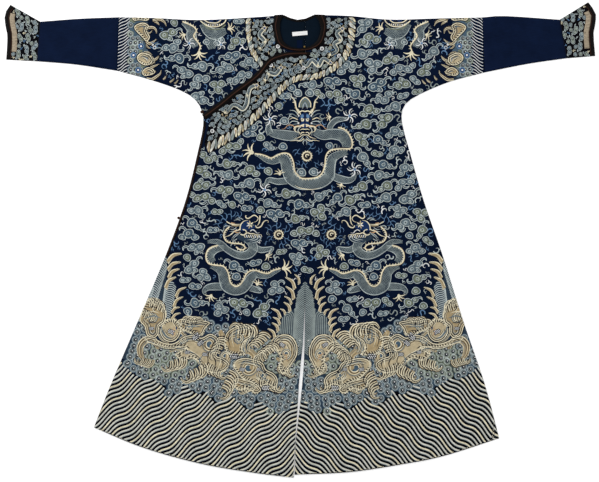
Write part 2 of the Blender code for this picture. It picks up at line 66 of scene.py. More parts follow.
MM = 0.001
PANELS = ("left_half", "right_half", "front_overlap")
EXTENSIONS = ("left_sleeve_extension", "right_sleeve_extension")
CUFFS = ("left_cuff", "right_cuff")
SIDES = ("left", "right")
CLOTH_TOP = 0.0018        # in metres: whatever is higher than this lies on the back's sheet
VENT_TOP = -0.19          # in metres: above this height the centre seam is sewn shut
SENSOR = 36.0             # width of the camera's sensor
WAVE_PITCH = 0.314        # in metres: distance between a wave texture's bands at a scale of 1
BODY_HALF = 462           # half the width that the body's clouds fill
SLEEVE_SEAM = 553         # distance of a sleeve's seam from the middle

# ---------------------------------------------------------------- places on the robe

Middle = namedtuple("Middle", "y x opening")
MIDDLE_LINE = [Middle(*row) for row in (  # the centre seam, and the vent that opens below it
    (700, 15.8, 0.3), (-200, 14.5, 0.3), (-318, 10.5, 5.0), (-373, 6.5, 9.0), (-439, 1.0, 10.0),
    (-503, -4.0, 6.0), (-579, -11.5, 3.0), (-615, -15.0, 1.0), (-730, -18.8, 3.4),
)]
DIAGONAL = (  # middle of the overlap's bound edge: x, y, width
    (30, 564.5, 11), (0, 565, 12), (-34, 563, 14), (-66, 555, 17), (-93, 541, 18), (-132, 495, 18),
    (-197, 446, 18), (-240, 411, 18), (-292, 372, 18),
)
EDGING_LEFT = (
    (155, 674.5, 25), (157, 642, 24), (151, 593, 23), (131, 550, 22), (93, 516, 21), (47, 496, 21),
    (0, 492, 21), (-36, 477, 21), (-72, 443, 22), (-126, 384, 24), (-190, 329, 28), (-240, 299, 32),
    (-283, 277.5, 34),
)
EDGING_RIGHT = (
    (-156, 671, 21), (-157, 636, 20), (-152, 600, 20), (-142, 568, 20), (-113, 528, 19),
)
NECK_RIGHT = (  # middle of the neck binding and its width, from the shoulder to the throat
    (-64.5, 682, 27), (-70.5, 661, 21), (-71.5, 639, 20), (-60.5, 598.5, 19), (-32, 580.5, 12),
    (-0.2, 576, 9),
)
NECK_LEFT = (
    (58, 682, 34), (68.5, 662, 23), (71.5, 639, 18), (59.5, 600, 18), (31, 581, 12), (0.2, 576, 9),
)
WRISTS = (((-788, 662), (-798, 542)), ((787, 668), (808, 551)))
CUFF_MOUTHS = (  # the cuffs' outer edges, from tip to seam
    ((-878, 713), (-891, 694), (-896, 673), (-893, 648), (-888, 624), (-888, 594), (-891, 547)),
    ((873, 721), (886, 703), (896, 684), (894, 653), (889, 628), (890, 604), (894, 558)),
)
SIDE_SEAM_RIGHT = ((-294, 345), (-310, 267), (-347, 120), (-408, -48))

Crease = namedtuple("Crease", "x y angle length width height bend")
# Soft ridges where the cloth lies: centre, degrees from +X, half sizes, height, bend
CREASES = [Crease(*row) for row in (
    (-238, 470, 58, 70, 7, 0.55, 10), (-262, 520, 70, 46, 6, 0.40, -6), (-205, 505, 40, 52, 8, 0.45, 8),
    (-330, 560, 22, 80, 9, 0.50, -12), (-395, 600, 8, 64, 7, 0.35, 6),
    (268, 455, 124, 74, 7, 0.60, -12), (232, 492, 138, 50, 8, 0.45, 8), (300, 520, 112, 44, 6, 0.40, 6),
    (352, 556, 160, 84, 9, 0.50, 12), (420, 606, 174, 60, 7, 0.35, -6), (-622, 622, 84, 34, 7, 0.55, 5),
    (-700, 585, 62, 40, 8, 0.60, -7), (-742, 628, 100, 30, 6, 0.45, 4), (-660, 560, 14, 46, 6, 0.40, 4),
    (-598, 570, 120, 28, 6, 0.40, -4), (640, 640, 96, 32, 7, 0.55, -5), (716, 600, 118, 42, 8, 0.60, 7),
    (752, 640, 80, 28, 6, 0.45, -4), (664, 566, 168, 48, 6, 0.40, -4), (604, 580, 60, 26, 6, 0.40, 4),
    (-120, -120, 80, 95, 9, 0.40, 10), (-300, -60, 66, 80, 8, 0.45, -9),
    (120, -90, 98, 90, 9, 0.40, -10), (322, -70, 112, 84, 8, 0.45, 9), (-210, 180, 72, 70, 8, 0.35, 8),
    (250, 210, 100, 76, 8, 0.35, -8), (-470, -500, 64, 90, 10, 0.50, 12),
    (-180, -560, 80, 80, 9, 0.45, -9), (200, -575, 98, 84, 9, 0.45, 9),
    (440, -510, 116, 88, 10, 0.50, -12), (-60, -330, 84, 60, 8, 0.30, 5),
    (92, -340, 96, 60, 8, 0.30, -5),
)]

# Below the waist the pattern is the same on both sides of the middle, so its tables hold the
# distance from the middle and the height.
ROCK_TOP = (
    (640, -190), (520, -205), (493, -218), (440, -234), (381, -234), (328, -237), (287, -237),
    (248, -258), (217, -255), (175, -251), (132, -272), (104, -297), (63, -283), (0, -300),
)
BUBBLE_LOW = (
    (640, -350), (580, -366), (537, -377), (500, -412), (469, -439), (455, -410), (421, -436),
    (400, -474), (379, -478), (365, -445), (338, -430), (325, -464), (290, -474), (274, -450),
    (271, -481), (252, -498), (222, -493), (205, -474), (179, -500), (150, -520), (131, -496),
    (104, -486), (90, -523), (62, -532), (33, -508), (0, -480),
)
Rock = namedtuple("Rock", "kind u y size angle hand")
ROCKS = [Rock(*row) for row in (
    ("curl", 284, -314, 26, 200, 1), ("curl", 162, -386, 28, 150, 1), ("foam", 452, -196, 24, 12, 1),
    ("foam", 478, -226, 20, 20, 1), ("foam", 344, -246, 22, 8, -1), ("foam", 176, -272, 30, 4, 1),
    ("foam", 134, -304, 27, -50, 1), ("foam", 104, -332, 24, -40, 1), ("foam", 258, -322, 26, -70, 1),
    ("foam", 382, -376, 26, 170, -1), ("foam", 318, -404, 28, 160, -1), ("foam", 262, -398, 24, 200, 1),
    ("foam", 216, -436, 29, 120, -1), ("foam", 92, -440, 27, 190, 1), ("foam", 476, -370, 20, 200, -1),
    ("foam", 124, -356, 22, -30, -1), ("foam", 52, -396, 20, 200, 1), ("foam", 158, -448, 18, 160, -1),
    ("checks", 326, -292, 15, -44, 1), ("checks", 208, -352, 15, 0, 1), ("checks", 64, -318, 11, 30, 1),
    ("checks", 104, -448, 14, 0, 1), ("checks", 402, -278, 12, 20, 1), ("checks", 350, -340, 9, 0, 1),
    ("checks", 312, -312, 12, -40, 1), ("checks", 296, -346, 10, 0, 1),
    ("checks", 180, -392, 10, 10, 1), ("checks", 462, -268, 9, 0, 1), ("checks", 130, -392, 8, 0, 1),
    ("curl", 236, -352, 17, 20, -1), ("curl", 366, -300, 15, 120, 1), ("curl", 52, -344, 16, 80, -1),
    ("curl", 460, -238, 16, 40, 1), ("curl", 118, -408, 16, 200, -1), ("curl", 350, -262, 13, 100, 1),
    ("curl", 198, -300, 17, 60, 1),
)]
MASSES = (  # the broad rocks: colour and outline
    ("tan", ((498, -246), (484, -262), (476, -288), (456, -298), (440, -284), (438, -262), (424, -250),
      (420, -226), (428, -200), (446, -180), (468, -178), (484, -192), (494, -216))),
    ("sand", ((478, -294), (450, -300), (420, -312), (392, -312), (362, -292), (334, -288), (310, -296),
      (284, -284), (260, -298), (253, -326), (262, -350), (242, -358), (222, -374), (232, -394),
      (256, -402), (282, -398), (306, -382), (320, -364), (340, -358), (362, -364), (384, -346),
      (354, -326), (378, -324), (408, -326), (444, -318), (474, -308))),
    ("tan", ((386, -246), (366, -238), (340, -246), (314, -243), (286, -250), (300, -268), (310, -288),
      (330, -286), (352, -278), (374, -268))),
    ("sand", ((434, -266), (436, -284), (420, -304), (396, -308), (378, -292), (374, -266), (384, -246),
      (404, -238), (424, -246))),
    ("tan", ((240, -296), (230, -276), (208, -262), (188, -257), (168, -256), (154, -272), (160, -294),
      (180, -308), (186, -330), (178, -346), (208, -348), (230, -340), (238, -322))),
    ("sand", ((92, -322), (86, -298), (64, -286), (38, -292), (20, -318), (18, -348), (30, -372),
      (44, -394), (58, -404), (70, -386), (66, -360), (76, -340))),
    ("sand", ((200, -364), (176, -357), (146, -362), (120, -372), (108, -392), (84, -404), (70, -424),
      (78, -446), (100, -436), (128, -444), (150, -430), (176, -420), (198, -398), (207, -380))),
    ("tan", ((198, -418), (168, -424), (136, -434), (118, -454), (134, -464), (160, -450), (184, -454),
      (202, -440))),
)
BANDS = (  # crests of surf that roll over: u, y, width
    ((440, -330, 8), (446, -314, 16), (460, -302, 21), (480, -304, 22), (494, -322, 21), (492, -346, 17),
     (482, -362, 9)),
    ((98, -340, 8), (94, -314, 16), (74, -298, 21), (46, -300, 23), (30, -322, 21), (32, -350, 17),
     (46, -368, 9)),
    ((420, -242, 7), (434, -258, 10), (438, -280, 11), (428, -300, 9), (408, -312, 6)),
    ((404, -338, 6), (380, -330, 10), (350, -338, 12), (322, -352, 11), (300, -372, 7)),
    ((152, -282, 6), (168, -300, 9), (176, -322, 10), (168, -344, 7)),
)
CONTOURS = (  # long dark and blue-grey lines over the rocks: colour, width, points
    ("ink", 3.4, ((348, -270), (330, -288), (312, -306), (298, -326))),
    ("steel", 4.4, ((432, -256), (430, -274), (418, -292), (402, -300))),
    ("ink", 2.6, ((410, -320), (384, -318), (352, -322))),
    ("ink", 3.0, ((272, -352), (262, -372), (268, -392))),
    ("ink", 2.4, ((292, -344), (286, -366), (292, -388))),
    ("steel", 3.6, ((304, -350), (312, -364), (308, -380))),
    ("cream", 2.4, ((252, -348), (248, -368), (254, -388))),
    ("ink", 2.4, ((244, -360), (240, -376), (246, -392))),
    ("ink", 2.6, ((224, -276), (228, -300), (222, -326))),
    ("cream", 2.2, ((214, -270), (218, -296), (212, -324))),
    ("steel", 3.4, ((204, -268), (206, -292), (200, -318))),
    ("ink", 2.2, ((192, -266), (196, -288), (192, -312))),
    ("ink", 2.6, ((446, -206), (462, -202), (478, -206))),
    ("cream", 2.4, ((440, -222), (460, -216), (482, -222))),
    ("steel", 3.6, ((436, -236), (458, -230), (484, -238))),
    ("ink", 2.4, ((446, -252), (462, -248), (478, -256))),
    ("ink", 2.6, ((120, -388), (106, -404), (90, -416))),
    ("steel", 3.6, ((130, -402), (114, -418), (94, -428))),
    ("cream", 2.4, ((138, -412), (120, -426), (108, -430))),
    ("ink", 2.6, ((372, -248), (352, -254), (322, -252))),
    ("steel", 3.0, ((360, -262), (336, -262), (312, -264))),
    ("ink", 2.2, ((346, -274), (328, -274), (314, -278))),
    ("blush", 2.6, ((392, -262), (396, -276), (390, -290))),
    ("blush", 2.4, ((62, -342), (50, -352), (48, -368))),
    ("indigo", 4.0, ((404, -272), (396, -280), (400, -290))), ("indigo", 4.6, ((388, -262), (386, -272))),
)
STEM_CLAWS = (  # toothed claws on the wave peaks: base u, y, tip u, y, width
    (15, -131, 29, -104, 8), (28, -145, 56, -112, 11), (31, -176, 55, -140, 11), (39, -192, 60, -170, 8),
    (42, -214, 61, -188, 10), (57, -222, 72, -208, 8), (71, -234, 99, -206, 10), (72, -253, 93, -233, 9),
    (76, -274, 95, -250, 10), (85, -293, 107, -268, 10), (418, -62, 377, -39, 13),
    (417, -86, 379, -65, 12), (416, -112, 384, -86, 12), (425, -143, 394, -111, 12),
    (393, -169, 363, -142, 10), (400, -200, 372, -171, 10), (405, -217, 382, -202, 9),
    (403, -237, 379, -220, 9),
)
PEAK = (  # outlines of the middle's and the side seam's wave peaks
    (0, -127), (6, -131), (12, -143), (22, -157), (27, -180), (29, -206), (38, -212), (50, -214),
    (62, -224), (70, -240), (74, -262), (82, -288), (90, -312), (84, -345), (0, -352),
)
FLANK = (
    (640, -34), (421, -36), (418, -60), (418, -102), (422, -118), (412, -123), (400, -127), (391, -136),
    (390, -156), (394, -176), (400, -200), (406, -226), (409, -246), (430, -264), (640, -256),
)

CHEST_SPINES = (  # x, y, width of each length of the front-facing dragon's body
    ((42, 328, 20), (68, 318, 27), (97, 321, 30), (125, 316, 33), (139, 299, 32), (139, 280, 20)),
    ((144, 265, 12), (120, 260, 20), (98, 246, 27), (91, 218, 30), (86, 192, 32), (60, 173, 32),
     (30, 169, 32), (-2, 171, 33), (-29, 189, 34), (-39, 216, 33), (-46, 240, 31), (-62, 248, 28),
     (-83, 240, 21), (-103, 242, 13), (-124, 254, 7), (-138, 259, 4)),
    ((-8, 316, 22), (-33, 316, 29), (-57, 319, 28), (-80, 323, 23), (-94, 328, 17)),
)
CHEST_BACK = (
    (115, 341), (132, 336), (145, 325), (155, 307), (158, 292), (152, 277), (123, 276), (97, 273),
    (83, 264), (77, 247), (75, 226), (67, 203), (51, 190), (28, 186), (4, 187), (-10, 199), (-18, 212),
    (-20, 232), (-26, 249), (-34, 260), (-51, 263), (-68, 257), (-88, 248), (-103, 254), (-120, 259),
    (-138, 261),
)
CHEST_LEGS = (
    ((88, 331, 17), (93, 348, 16), (109, 363, 16), (129, 366, 12), (144, 367, 7)),
    ((97, 194, 20), (123, 184, 22), (149, 181, 17), (163, 190, 12), (164, 205, 7)),
    ((-39, 180, 20), (-68, 177, 17), (-94, 182, 14), (-103, 171, 10), (-107, 161, 6)),
    ((-90, 319, 20), (-96, 336, 17), (-94, 350, 10), (-91, 360, 6)),
)
SKIRT_SPINES = (  # u, y, width of the profile dragon's body
    ((181, 4, 20), (164, -7, 24), (157, -24, 27), (167, -40, 26), (187, -47, 23), (210, -43, 20),
     (234, -30, 18), (250, -16, 18), (264, -6, 15), (283, -4, 11), (296, -6, 6)),
    ((246, -24, 14), (268, -28, 19), (284, -39, 23), (287, -54, 23), (276, -67, 14)),
    ((286, -79, 12), (264, -86, 22), (249, -100, 29), (244, -121, 31), (237, -141, 30), (214, -153, 27),
     (190, -148, 27), (175, -132, 27), (163, -114, 25), (148, -104, 21), (129, -108, 17), (111, -108, 13),
     (93, -99, 9), (74, -90, 4)),
)
SKIRT_BACK = (
    ((229, 40), (240, 30), (246, 15), (241, 0), (231, -7), (214, -10), (198, -11), (186, -16), (181, -24),
     (188, -30), (200, -28), (209, -21)),
    ((263, -17), (278, -20), (292, -28), (299, -42), (299, -58), (291, -71), (270, -76), (248, -79),
     (236, -92), (230, -109), (226, -128), (212, -140), (198, -136), (187, -121), (178, -103), (165, -93),
     (148, -92), (131, -98), (112, -101), (97, -92), (74, -86)),
)
SKIRT_LEGS = (
    ((153, -21, 17), (134, -30, 17), (113, -28, 13), (99, -25, 9), (106, -38, 6), (115, -45, 4)),
    ((250, -141, 22), (274, -141, 21), (294, -144, 17), (306, -155, 11), (301, -166, 6)),
    ((166, -145, 18), (147, -151, 16), (133, -154, 11), (141, -144, 6), (146, -138, 4)),
)
SHOULDER_SPINES = (  # distance from the middle and height, on either shoulder
    ((372, 660, 12), (357, 648, 18), (346, 636, 26), (345, 618, 29), (340, 600, 26), (332, 584, 14)),
    ((314, 656, 16), (296, 634, 28), (276, 624, 33), (258, 628, 28), (240, 634, 15)),
    ((288, 616, 28), (286, 596, 29), (283, 578, 18)),
)
SHOULDER_BACK = (
    (372, 662), (353, 654), (338, 646), (330, 634), (338, 618), (327, 602), (318, 587), (322, 573),
)
CHEST_STARS = ((150, 376, 10), (165, 214, 40), (-108, 152, 200), (-91, 366, 100))  # x, y, turn
CHEST_CLAWS = (  # x, y, turn in degrees and size, as in the next tables of claws and flames
    (91, 373, 190, 0.6), (125, 169, 250, 0.6), (-62, 199, 100, 0.7), (-146, 265, 160, 1.15),
)
CHEST_FLAMES = (
    (-10, 268, 200, 0.8), (34, 282, 20, 0.8), (58, 268, 60, 0.7), (12, 229, 270, 0.8),
    (50, 230, 300, 0.7), (-6, 232, 120, 0.6), (28, 296, 0, 0.7),
)
CHEST_CURLS = (
    ((-44, 420), (-54, 432), (-46, 444), (-38, 452)), ((-60, 398), (-52, 410), (-62, 420)),
    ((62, 404), (74, 414), (66, 428), (78, 436)), ((84, 398), (92, 410), (104, 408), (112, 418)),
)
CHEST_ROOM = (  # x, y, radius of what the head and the pearl keep clear
    (15, 364, 34), (15, 404, 34), (15, 330, 34), (15, 440, 18), (-30, 400, 18), (58, 400, 18),
    (20, 254, 24), (20, 228, 24), (0, 250, 24), (45, 250, 24), (20, 280, 24), (50, 276, 24),
    (-8, 272, 24), (20, 205, 24),
)
SKIRT_CLAWS = ((65, -86, 10, 1.1), (116, -46, 330, 0.7), (284, -168, 250, 0.8), (145, -135, 70, 0.7))
SKIRT_FLAMES = (
    (108, 34, 120, 0.8), (58, 30, 40, 0.8), (56, 2, 300, 0.8), (84, 42, 60, 0.9), (70, -14, 260, 0.8),
    (104, 6, 200, 0.7), (244, 66, 100, 1.0), (222, 76, 60, 0.9), (262, 52, 160, 0.9), (200, 74, 80, 0.8),
)
SKIRT_ROOM = (
    (80, 16, 19), (172, 40, 32), (212, 44, 22), (150, 58, 20), (120, 48, 16), (190, 14, 26),
    (222, 20, 22), (140, 22, 18),
)
SHOULDER_CLAWS = ((322, 568, 280, 1.0), (232, 640, 20, 0.8), (366, 622, 200, 0.7))
SHOULDER_JAWS = (
    ((318, 664), (300, 650), (282, 646), (262, 648), (246, 658), (240, 668)),
    ((308, 668), (296, 660), (284, 658), (268, 658), (256, 666)),
)
SHOULDER_CURLS = (
    ((222, 606), (214, 596), (202, 598)), ((206, 612), (196, 600), (204, 590)),
    ((228, 620), (220, 612), (212, 616)),
)
COLLAR_DRAGONS = (  # the lines of the small dragons on the band, from the head
    ((128, 640), (112, 626), (122, 606), (104, 594), (112, 574), (92, 560)),
    ((92, 536), (70, 548), (56, 528), (36, 544), (18, 526), (0, 542)),
    ((-58, 522), (-74, 502), (-94, 504), (-104, 484)),
    ((-132, 468), (-150, 460), (-158, 438), (-162, 412), (-174, 396), (-190, 406), (-204, 408),
     (-216, 394), (-228, 384)),
    ((-108, 642), (-122, 622), (-108, 602), (-120, 582)),
)
COLLAR_PEARLS = (
    (-67.5, 586.5), (66, 579.5), (-88.5, 529.5), (10, 520.5), (118, 558), (-266, 330),
)

EYE = ((2.5, 4), (6, 3), (11, 6), (12.5, 1), (10, -5), (3, -4))
FACE_DOTS = (  # on one half of the front face: colour, place, radius, lift and corners
    ("ink", 8.6, 0.4, 1.9, 1.8, 6), ("white", 20, -10, 3.0, 1.2, 8), ("white", 19, 12, 2.4, 1.2, 8),
    ("cream", 5.5, -19, 2.8, 1.2, 8),
)
FACE_LINES = (  # on one half of the front face: colour, width, lift and curves
    ("cream", 3.4, 1.2, ((0, 25), (9, 27), (18, 22), (24, 14))),
    ("blush", 2.6, 1.0, ((4, -16), (12, -20), (22, -18), (31, -21), (40, -16), (52, -17), (62, -27),
      (70, -28))),
    ("cream", 3.2, 1.2, ((2, -14), (9, -16), (19, -21), (27, -20), (33, -26), (27, -36), (14, -38))),
    ("cream", 2.6, 1.0, ((0, -29), (8, -28), (15, -31)), ((2, -39), (9, -38), (14, -44), (20, -33))),
    ("cream", 2.4, 0.9, ((0, -46), (8, -46), (18, -53), (34, -58)), ((3, -57), (14, -64), (26, -62),
      (44, -64))),
    ("outline", 2.2, 0.7, ((5, -50), (12, -58), (24, -68)), ((1, -60), (6, -68), (4, -76))),
    ("cream", 3.6, 1.0, ((20, 22), (27, 38), (30, 56), (38, 66), (44, 76)), ((28, 50), (33, 54),
      (38, 52))),
    ("tan", 1.6, 1.2, ((23, 22), (29, 38), (33, 54))),
)
CHEEK = ((197, 30), (194, 46), (184, 57), (170, 58), (158, 50), (149, 41), (157, 34), (172, 30), (184, 27))
JAW = ((206, 10), (190, 19), (166, 15), (146, 14), (133, 13), (135, 4), (150, -5), (176, -7), (200, 1))
SIDE_LINES = (  # on the side face: colour, width, lift and curves
    ("cream", 3.1, 1.0, ((179, 75), (180, 69), (173, 65), (164, 70), (155, 75), (147, 72), (142, 65),
      (147, 57), (155, 54)), ((137, 74), (137, 63), (140, 50), (145, 44)), ((150, 44), (147, 38),
      (139, 38), (132, 43), (127, 53), (120, 59), (112, 58), (112, 52)), ((197, 30), (196, 43), (190, 53),
      (183, 58), (173, 60)), ((238, 56), (225, 49), (208, 47), (195, 48)), ((196, 34), (204, 29),
      (214, 26), (222, 19), (231, 13), (242, 10)), ((196, 18), (188, 15), (180, 18), (174, 22), (166, 19),
      (156, 19), (147, 16), (133, 16), (131, 9)), ((189, 32), (180, 29), (178, 22), (185, 17))),
    ("sand", 3.4, 1.1, ((222, 45), (208, 43), (196, 44))),
    ("white", 2.6, 1.1, ((166, 27), (159, 31), (151, 27), (146, 21), (138, 22))),
    ("blush", 2.8, 1.2, ((212, 24), (204, 22), (198, 25)), ((224, 52), (212, 50)), ((216, 26),
      (208, 30))),
    ("outline", 2.0, 0.8, ((133, 13), (135, 3), (146, -5), (160, -9)), ((141, 12), (144, 4), (154, -1),
      (168, -4)), ((150, 11), (153, 6), (162, 2), (176, 0)), ((196, 24), (204, 16), (214, 8), (218, 0)),
     ((204, 20), (214, 14), (222, 4)), ((247, 38), (241, 43), (230, 42), (217, 38)), ((208, 38),
      (217, 32), (228, 33)), ((206, 33), (215, 27), (228, 25)), ((196, 60), (206, 62), (216, 58)),
     ((188, 62), (198, 67), (210, 64)), ((206, 4), (214, -1), (224, 1))),
)

SLEEVE_FINGERS = (  # distance in from the sleeve's seam and height, and how wide: claws of surf
    (((107, 664), (122, 668), (136, 664), (144, 656), (147, 648)), 9.5),
    (((112, 661), (120, 658), (126, 651)), 6.0),
    (((84, 637), (97, 643), (109, 642), (116, 635), (117, 625)), 9.0),
    (((86, 629), (98, 627), (105, 636)), 5.0),
    (((82, 606), (91, 596), (100, 595), (110, 601), (118, 609)), 9.5),
    (((86, 592), (92, 583), (101, 580)), 5.0), (((86, 563), (99, 556), (107, 547), (112, 536)), 8.5),
    (((80, 569), (93, 568), (104, 561)), 5.0), (((104, 544), (116, 547), (126, 558)), 8.0),
    (((98, 521), (111, 526), (126, 533)), 7.5), (((92, 532), (104, 534), (114, 541)), 6.0),
    (((88, 488), (104, 486), (119, 495), (129, 504), (132, 514)), 9.5),
    (((94, 500), (106, 503), (116, 512)), 6.5), (((138, 486), (143, 490), (147, 498)), 5.5),
    (((158, 478), (165, 482), (172, 490)), 5.5), (((172, 474), (178, 477), (184, 486)), 5.0),
)
SLEEVE_MASSES = (  # the broad rocks, measured in the same way: colour and outline
    ("tan", ((54, 651), (69, 658), (83, 658), (95, 649), (89, 634), (98, 615), (88, 600), (79, 609),
      (68, 620), (57, 631), (50, 642))),
    ("sand", ((60, 559), (72, 568), (88, 565), (102, 557), (106, 542), (97, 531), (83, 529), (68, 536),
      (59, 547))),
    ("tan", ((80, 518), (94, 524), (108, 518), (114, 506), (100, 500), (83, 497), (73, 505))),
    ("sand", ((44, 674), (58, 680), (84, 680), (96, 672), (88, 664), (66, 666), (50, 664))),
)
SLEEVE_BED = (
    (34, 690), (84, 690), (96, 640), (86, 600), (82, 570), (96, 540), (90, 500), (84, 470), (38, 470),
)
SLEEVE_CURLS = (
    ((100, 600), (112, 596), (124, 600)), ((98, 586), (110, 580), (118, 586), (128, 580)),
    ((118, 590), (126, 594), (134, 588)),
)

# Clouds: lobes (x, y, radius) and tails, each about 60 mm long
Cloud = namedtuple("Cloud", "lobes tails")
CLOUDS = (
    Cloud(((-12, 4, 15), (12, -5, 14), (3, 14, 10)), (((22, -8), (28, -14), (36, -16), (42, -12),
       (42, -6)),)),
    Cloud(((0, -2, 16), (20, 10, 12), (-20, 9, 11)), (((-8, -13), (-14, -20), (-22, -22), (-28, -18),
       (-27, -12)),)),
    Cloud(((-12, 10, 13.5), (12, 9, 13.5), (-1, -11, 13)), (((10, -14), (17, -19), (25, -18), (30, -12),
       (27, -7)),)),
    Cloud(((-29, 5, 12), (-7, -4, 14.5), (16, 5, 13.5), (34, -4, 10)), (((-13, 9), (-8, 16), (0, 19),
       (8, 17)),)),
    Cloud(((0, 0, 16), (-19, -12, 10.5)), (((11, 10), (17, 17), (25, 18), (31, 13), (29, 7)), ((-26, -16),
       (-32, -21), (-39, -20), (-43, -14)))),
    Cloud(((-8, -12, 13), (12, -1, 14), (-6, 11, 12.5)), (((-16, 13), (-22, 18), (-30, 17), (-34, 11),
       (-31, 6)),)),
    Cloud(((-21, -6, 13), (0, 7, 15), (20, -5, 12.5)), (((29, -8), (35, -14), (43, -13), (46, -7)),
      ((3, -10), (7, -17), (14, -21), (21, -18)))),
    Cloud(((0, 0, 15.5),), (((-13, 6), (-19, 12), (-27, 11), (-30, 5)), ((12, -8), (18, -14), (26, -14),
       (29, -8)))),
)
COLLAR_CLOUDS = (
    (Cloud(((-10, 2, 13), (10, -2, 13)), (((18, 6), (26, 9), (33, 4)),)), 0.54),
    (Cloud(((0, 0, 14),), (((8, 8), (15, 12), (23, 8)), ((-9, -8), (-16, -11), (-22, -7)))), 0.5),
    (Cloud(((0, 0, 14),), ()), 0.42),
)
SQUIGGLES = (  # short curls and forks that fill the ground between the clouds
    (((-9, 4), (-7, 8), (-2, 8), (0, 3), (-2, -2), (2, -6), (7, -5), (8, -1)), ((0, 3), (5, 5), (9, 3))),
    (((-8, -3), (-8, 3), (-3, 7), (4, 5), (5, 0), (1, -3)), ((4, 5), (9, 7), (12, 4))),
    (((-9, -6), (-4, -6), (0, -2), (1, 4), (-3, 7), (-6, 5)), ((0, -2), (5, -2), (8, 2), (6, 6))),
    (((-11, 0), (-8, 4), (-4, 3), (-1, -2), (3, -4), (7, -1), (6, 4)), ((3, -4), (7, -7), (11, -6))),
    (((-7, 6), (-2, 9), (4, 7), (5, 1), (0, -1), (-5, -3), (-5, -8), (1, -10), (5, -8)),),
    (((-10, -4), (-7, 2), (-1, 2), (2, -2), (7, -3), (10, 1), (7, 4)), ((-1, 2), (-2, 7), (-6, 9))),
)


# ---------------------------------------------------------------- lines and outlines

def middle_at(y):
    """The centre line's x and the opening between its two edges at a height."""
    for upper, lower in zip(MIDDLE_LINE, MIDDLE_LINE[1:]):
        if y >= lower.y:
            break
    part = (upper.y - y) / (upper.y - lower.y)
    opening = upper.opening + (lower.opening - upper.opening) * part
    return upper.x + (lower.x - upper.x) * part, opening


def from_middle(side):
    """A place that takes distances from the middle to the robe, on one side."""
    sign = 1 if side == "left" else -1

    def place(u, y):
        return middle_at(y)[0] + sign * u, y

    return place


def placed(x, y, angle=0.0, size=1.0, flip=False):
    """A place that turns, scales and moves a small pattern's own millimetres."""
    turn = math.radians(angle)
    cos, sin = math.cos(turn) * size, math.sin(turn) * size

    def place(u, v):
        u = -u if flip else u
        return x + u * cos - v * sin, y + u * sin + v * cos

    return place


def laid(place, points):
    """The points of a pattern, laid out at its place."""
    return [place(*point[:2]) for point in points]


def smooth(points, step, closed=False):
    """A Catmull-Rom curve through the points, with a point about every step along it."""
    points = [Vector(point).to_3d() if len(point) < 3 else Vector(point) for point in points]
    if closed:
        ends = [points[-1]] + points + points[:2]
    else:
        ends = [2 * points[0] - points[1]] + points + [2 * points[-1] - points[-2]]
    line = []
    for before, start, end, after in zip(ends, ends[1:], ends[2:], ends[3:]):
        count = max(1, math.ceil((end - start).xy.length / step - 0.2))
        for index in range(count):
            t = index / count
            bend = (2 * before - 5 * start + 4 * end - after) * t * t
            twist = (3 * start - before - 3 * end + after) * t * t * t
            line.append(start + 0.5 * ((end - before) * t + bend + twist))
    return line if closed else line + [points[-1]]


def beside(line, distance):
    """The line moved to its left, by a distance or by a share of its width where share is given."""
    moved = []
    for index, point in enumerate(line):
        along = line[min(index + 1, len(line) - 1)] - line[max(index - 1, 0)]
        across = Vector((-along.y, along.x, 0)).normalized()
        reach = distance(point.z) if callable(distance) else distance
        moved.append(point + across * reach)
    return moved


def spiral(x, y, radius, start, turns, inner, count):
    """Points that wind from a radius in to an inner one."""
    points = []
    for index in range(count + 1):
        part = index / count
        angle = math.radians(start + 360 * turns * part)
        reach = radius + (inner - radius) * part
        points.append((x + reach * math.cos(angle), y + reach * math.sin(angle)))
    return points


def round_points(x, y, wide, high, count, angle=0.0):
    """Points round an oval."""
    place = placed(x, y, angle)
    turns = [2 * math.pi * index / count for index in range(count)]
    return [place(wide * math.cos(turn), high * math.sin(turn)) for turn in turns]


def ring(x, y, radius, count):
    """Points round a circle."""
    return round_points(x, y, radius, radius, count)


def height_on(line, u):
    """The height of a table of (u, y) at a distance from the middle; its rows run inwards."""
    for outer, inner in zip(line, line[1:]):
        if u >= inner[0]:
            part = (outer[0] - u) / max(1e-6, outer[0] - inner[0])
            return outer[1] + (inner[1] - outer[1]) * min(1.0, max(0.0, part))
    return line[-1][1]


def above_waves(x, y):
    """True above the rocks, the peaks and the sleeve bands, where the clouds lie."""
    u = abs(x - middle_at(y)[0])
    if y < -110 and u < 10 + 0.4 * (-110 - y):
        return False
    if (y < -30 and u > 410) or (y < -118 and u > 384):
        return False
    return y > height_on(ROCK_TOP, u) + 4


def crease_at(x, y):
    """How far the soft creases raise the cloth, in millimetres."""
    rise = 0.0
    for crease in CREASES:
        if abs(x - crease.x) > 150 or abs(y - crease.y) > 150:
            continue
        angle = math.radians(crease.angle)
        along = (x - crease.x) * math.cos(angle) + (y - crease.y) * math.sin(angle)
        across = (y - crease.y) * math.cos(angle) - (x - crease.x) * math.sin(angle)
        along /= crease.length
        if abs(along) < 1:
            across = (across - crease.bend * along * along) / crease.width
            rise += crease.height * (1 - along * along) ** 2 * math.exp(-across * across)
    return rise


# ---------------------------------------------------------------- materials

def linear(code):
    """The linear colour of an sRGB hex code."""
    channels = [int(code[index : index + 2], 16) / 255 for index in (1, 3, 5)]
    return [c / 12.92 if c <= 0.04045 else ((c + 0.055) / 1.055) ** 2.4 for c in channels]


def add_node(tree, kind, links=(), values=None, **settings):
    """Adds a node with its settings, its sockets' values and the links into it."""
    node = tree.nodes.new(kind)
    for name, value in settings.items():
        setattr(node, name, value)
    for socket, value in (values or {}).items():
        node.inputs[socket].default_value = value
    for socket, source in links:
        tree.links.new(source, node.inputs[socket])
    return node


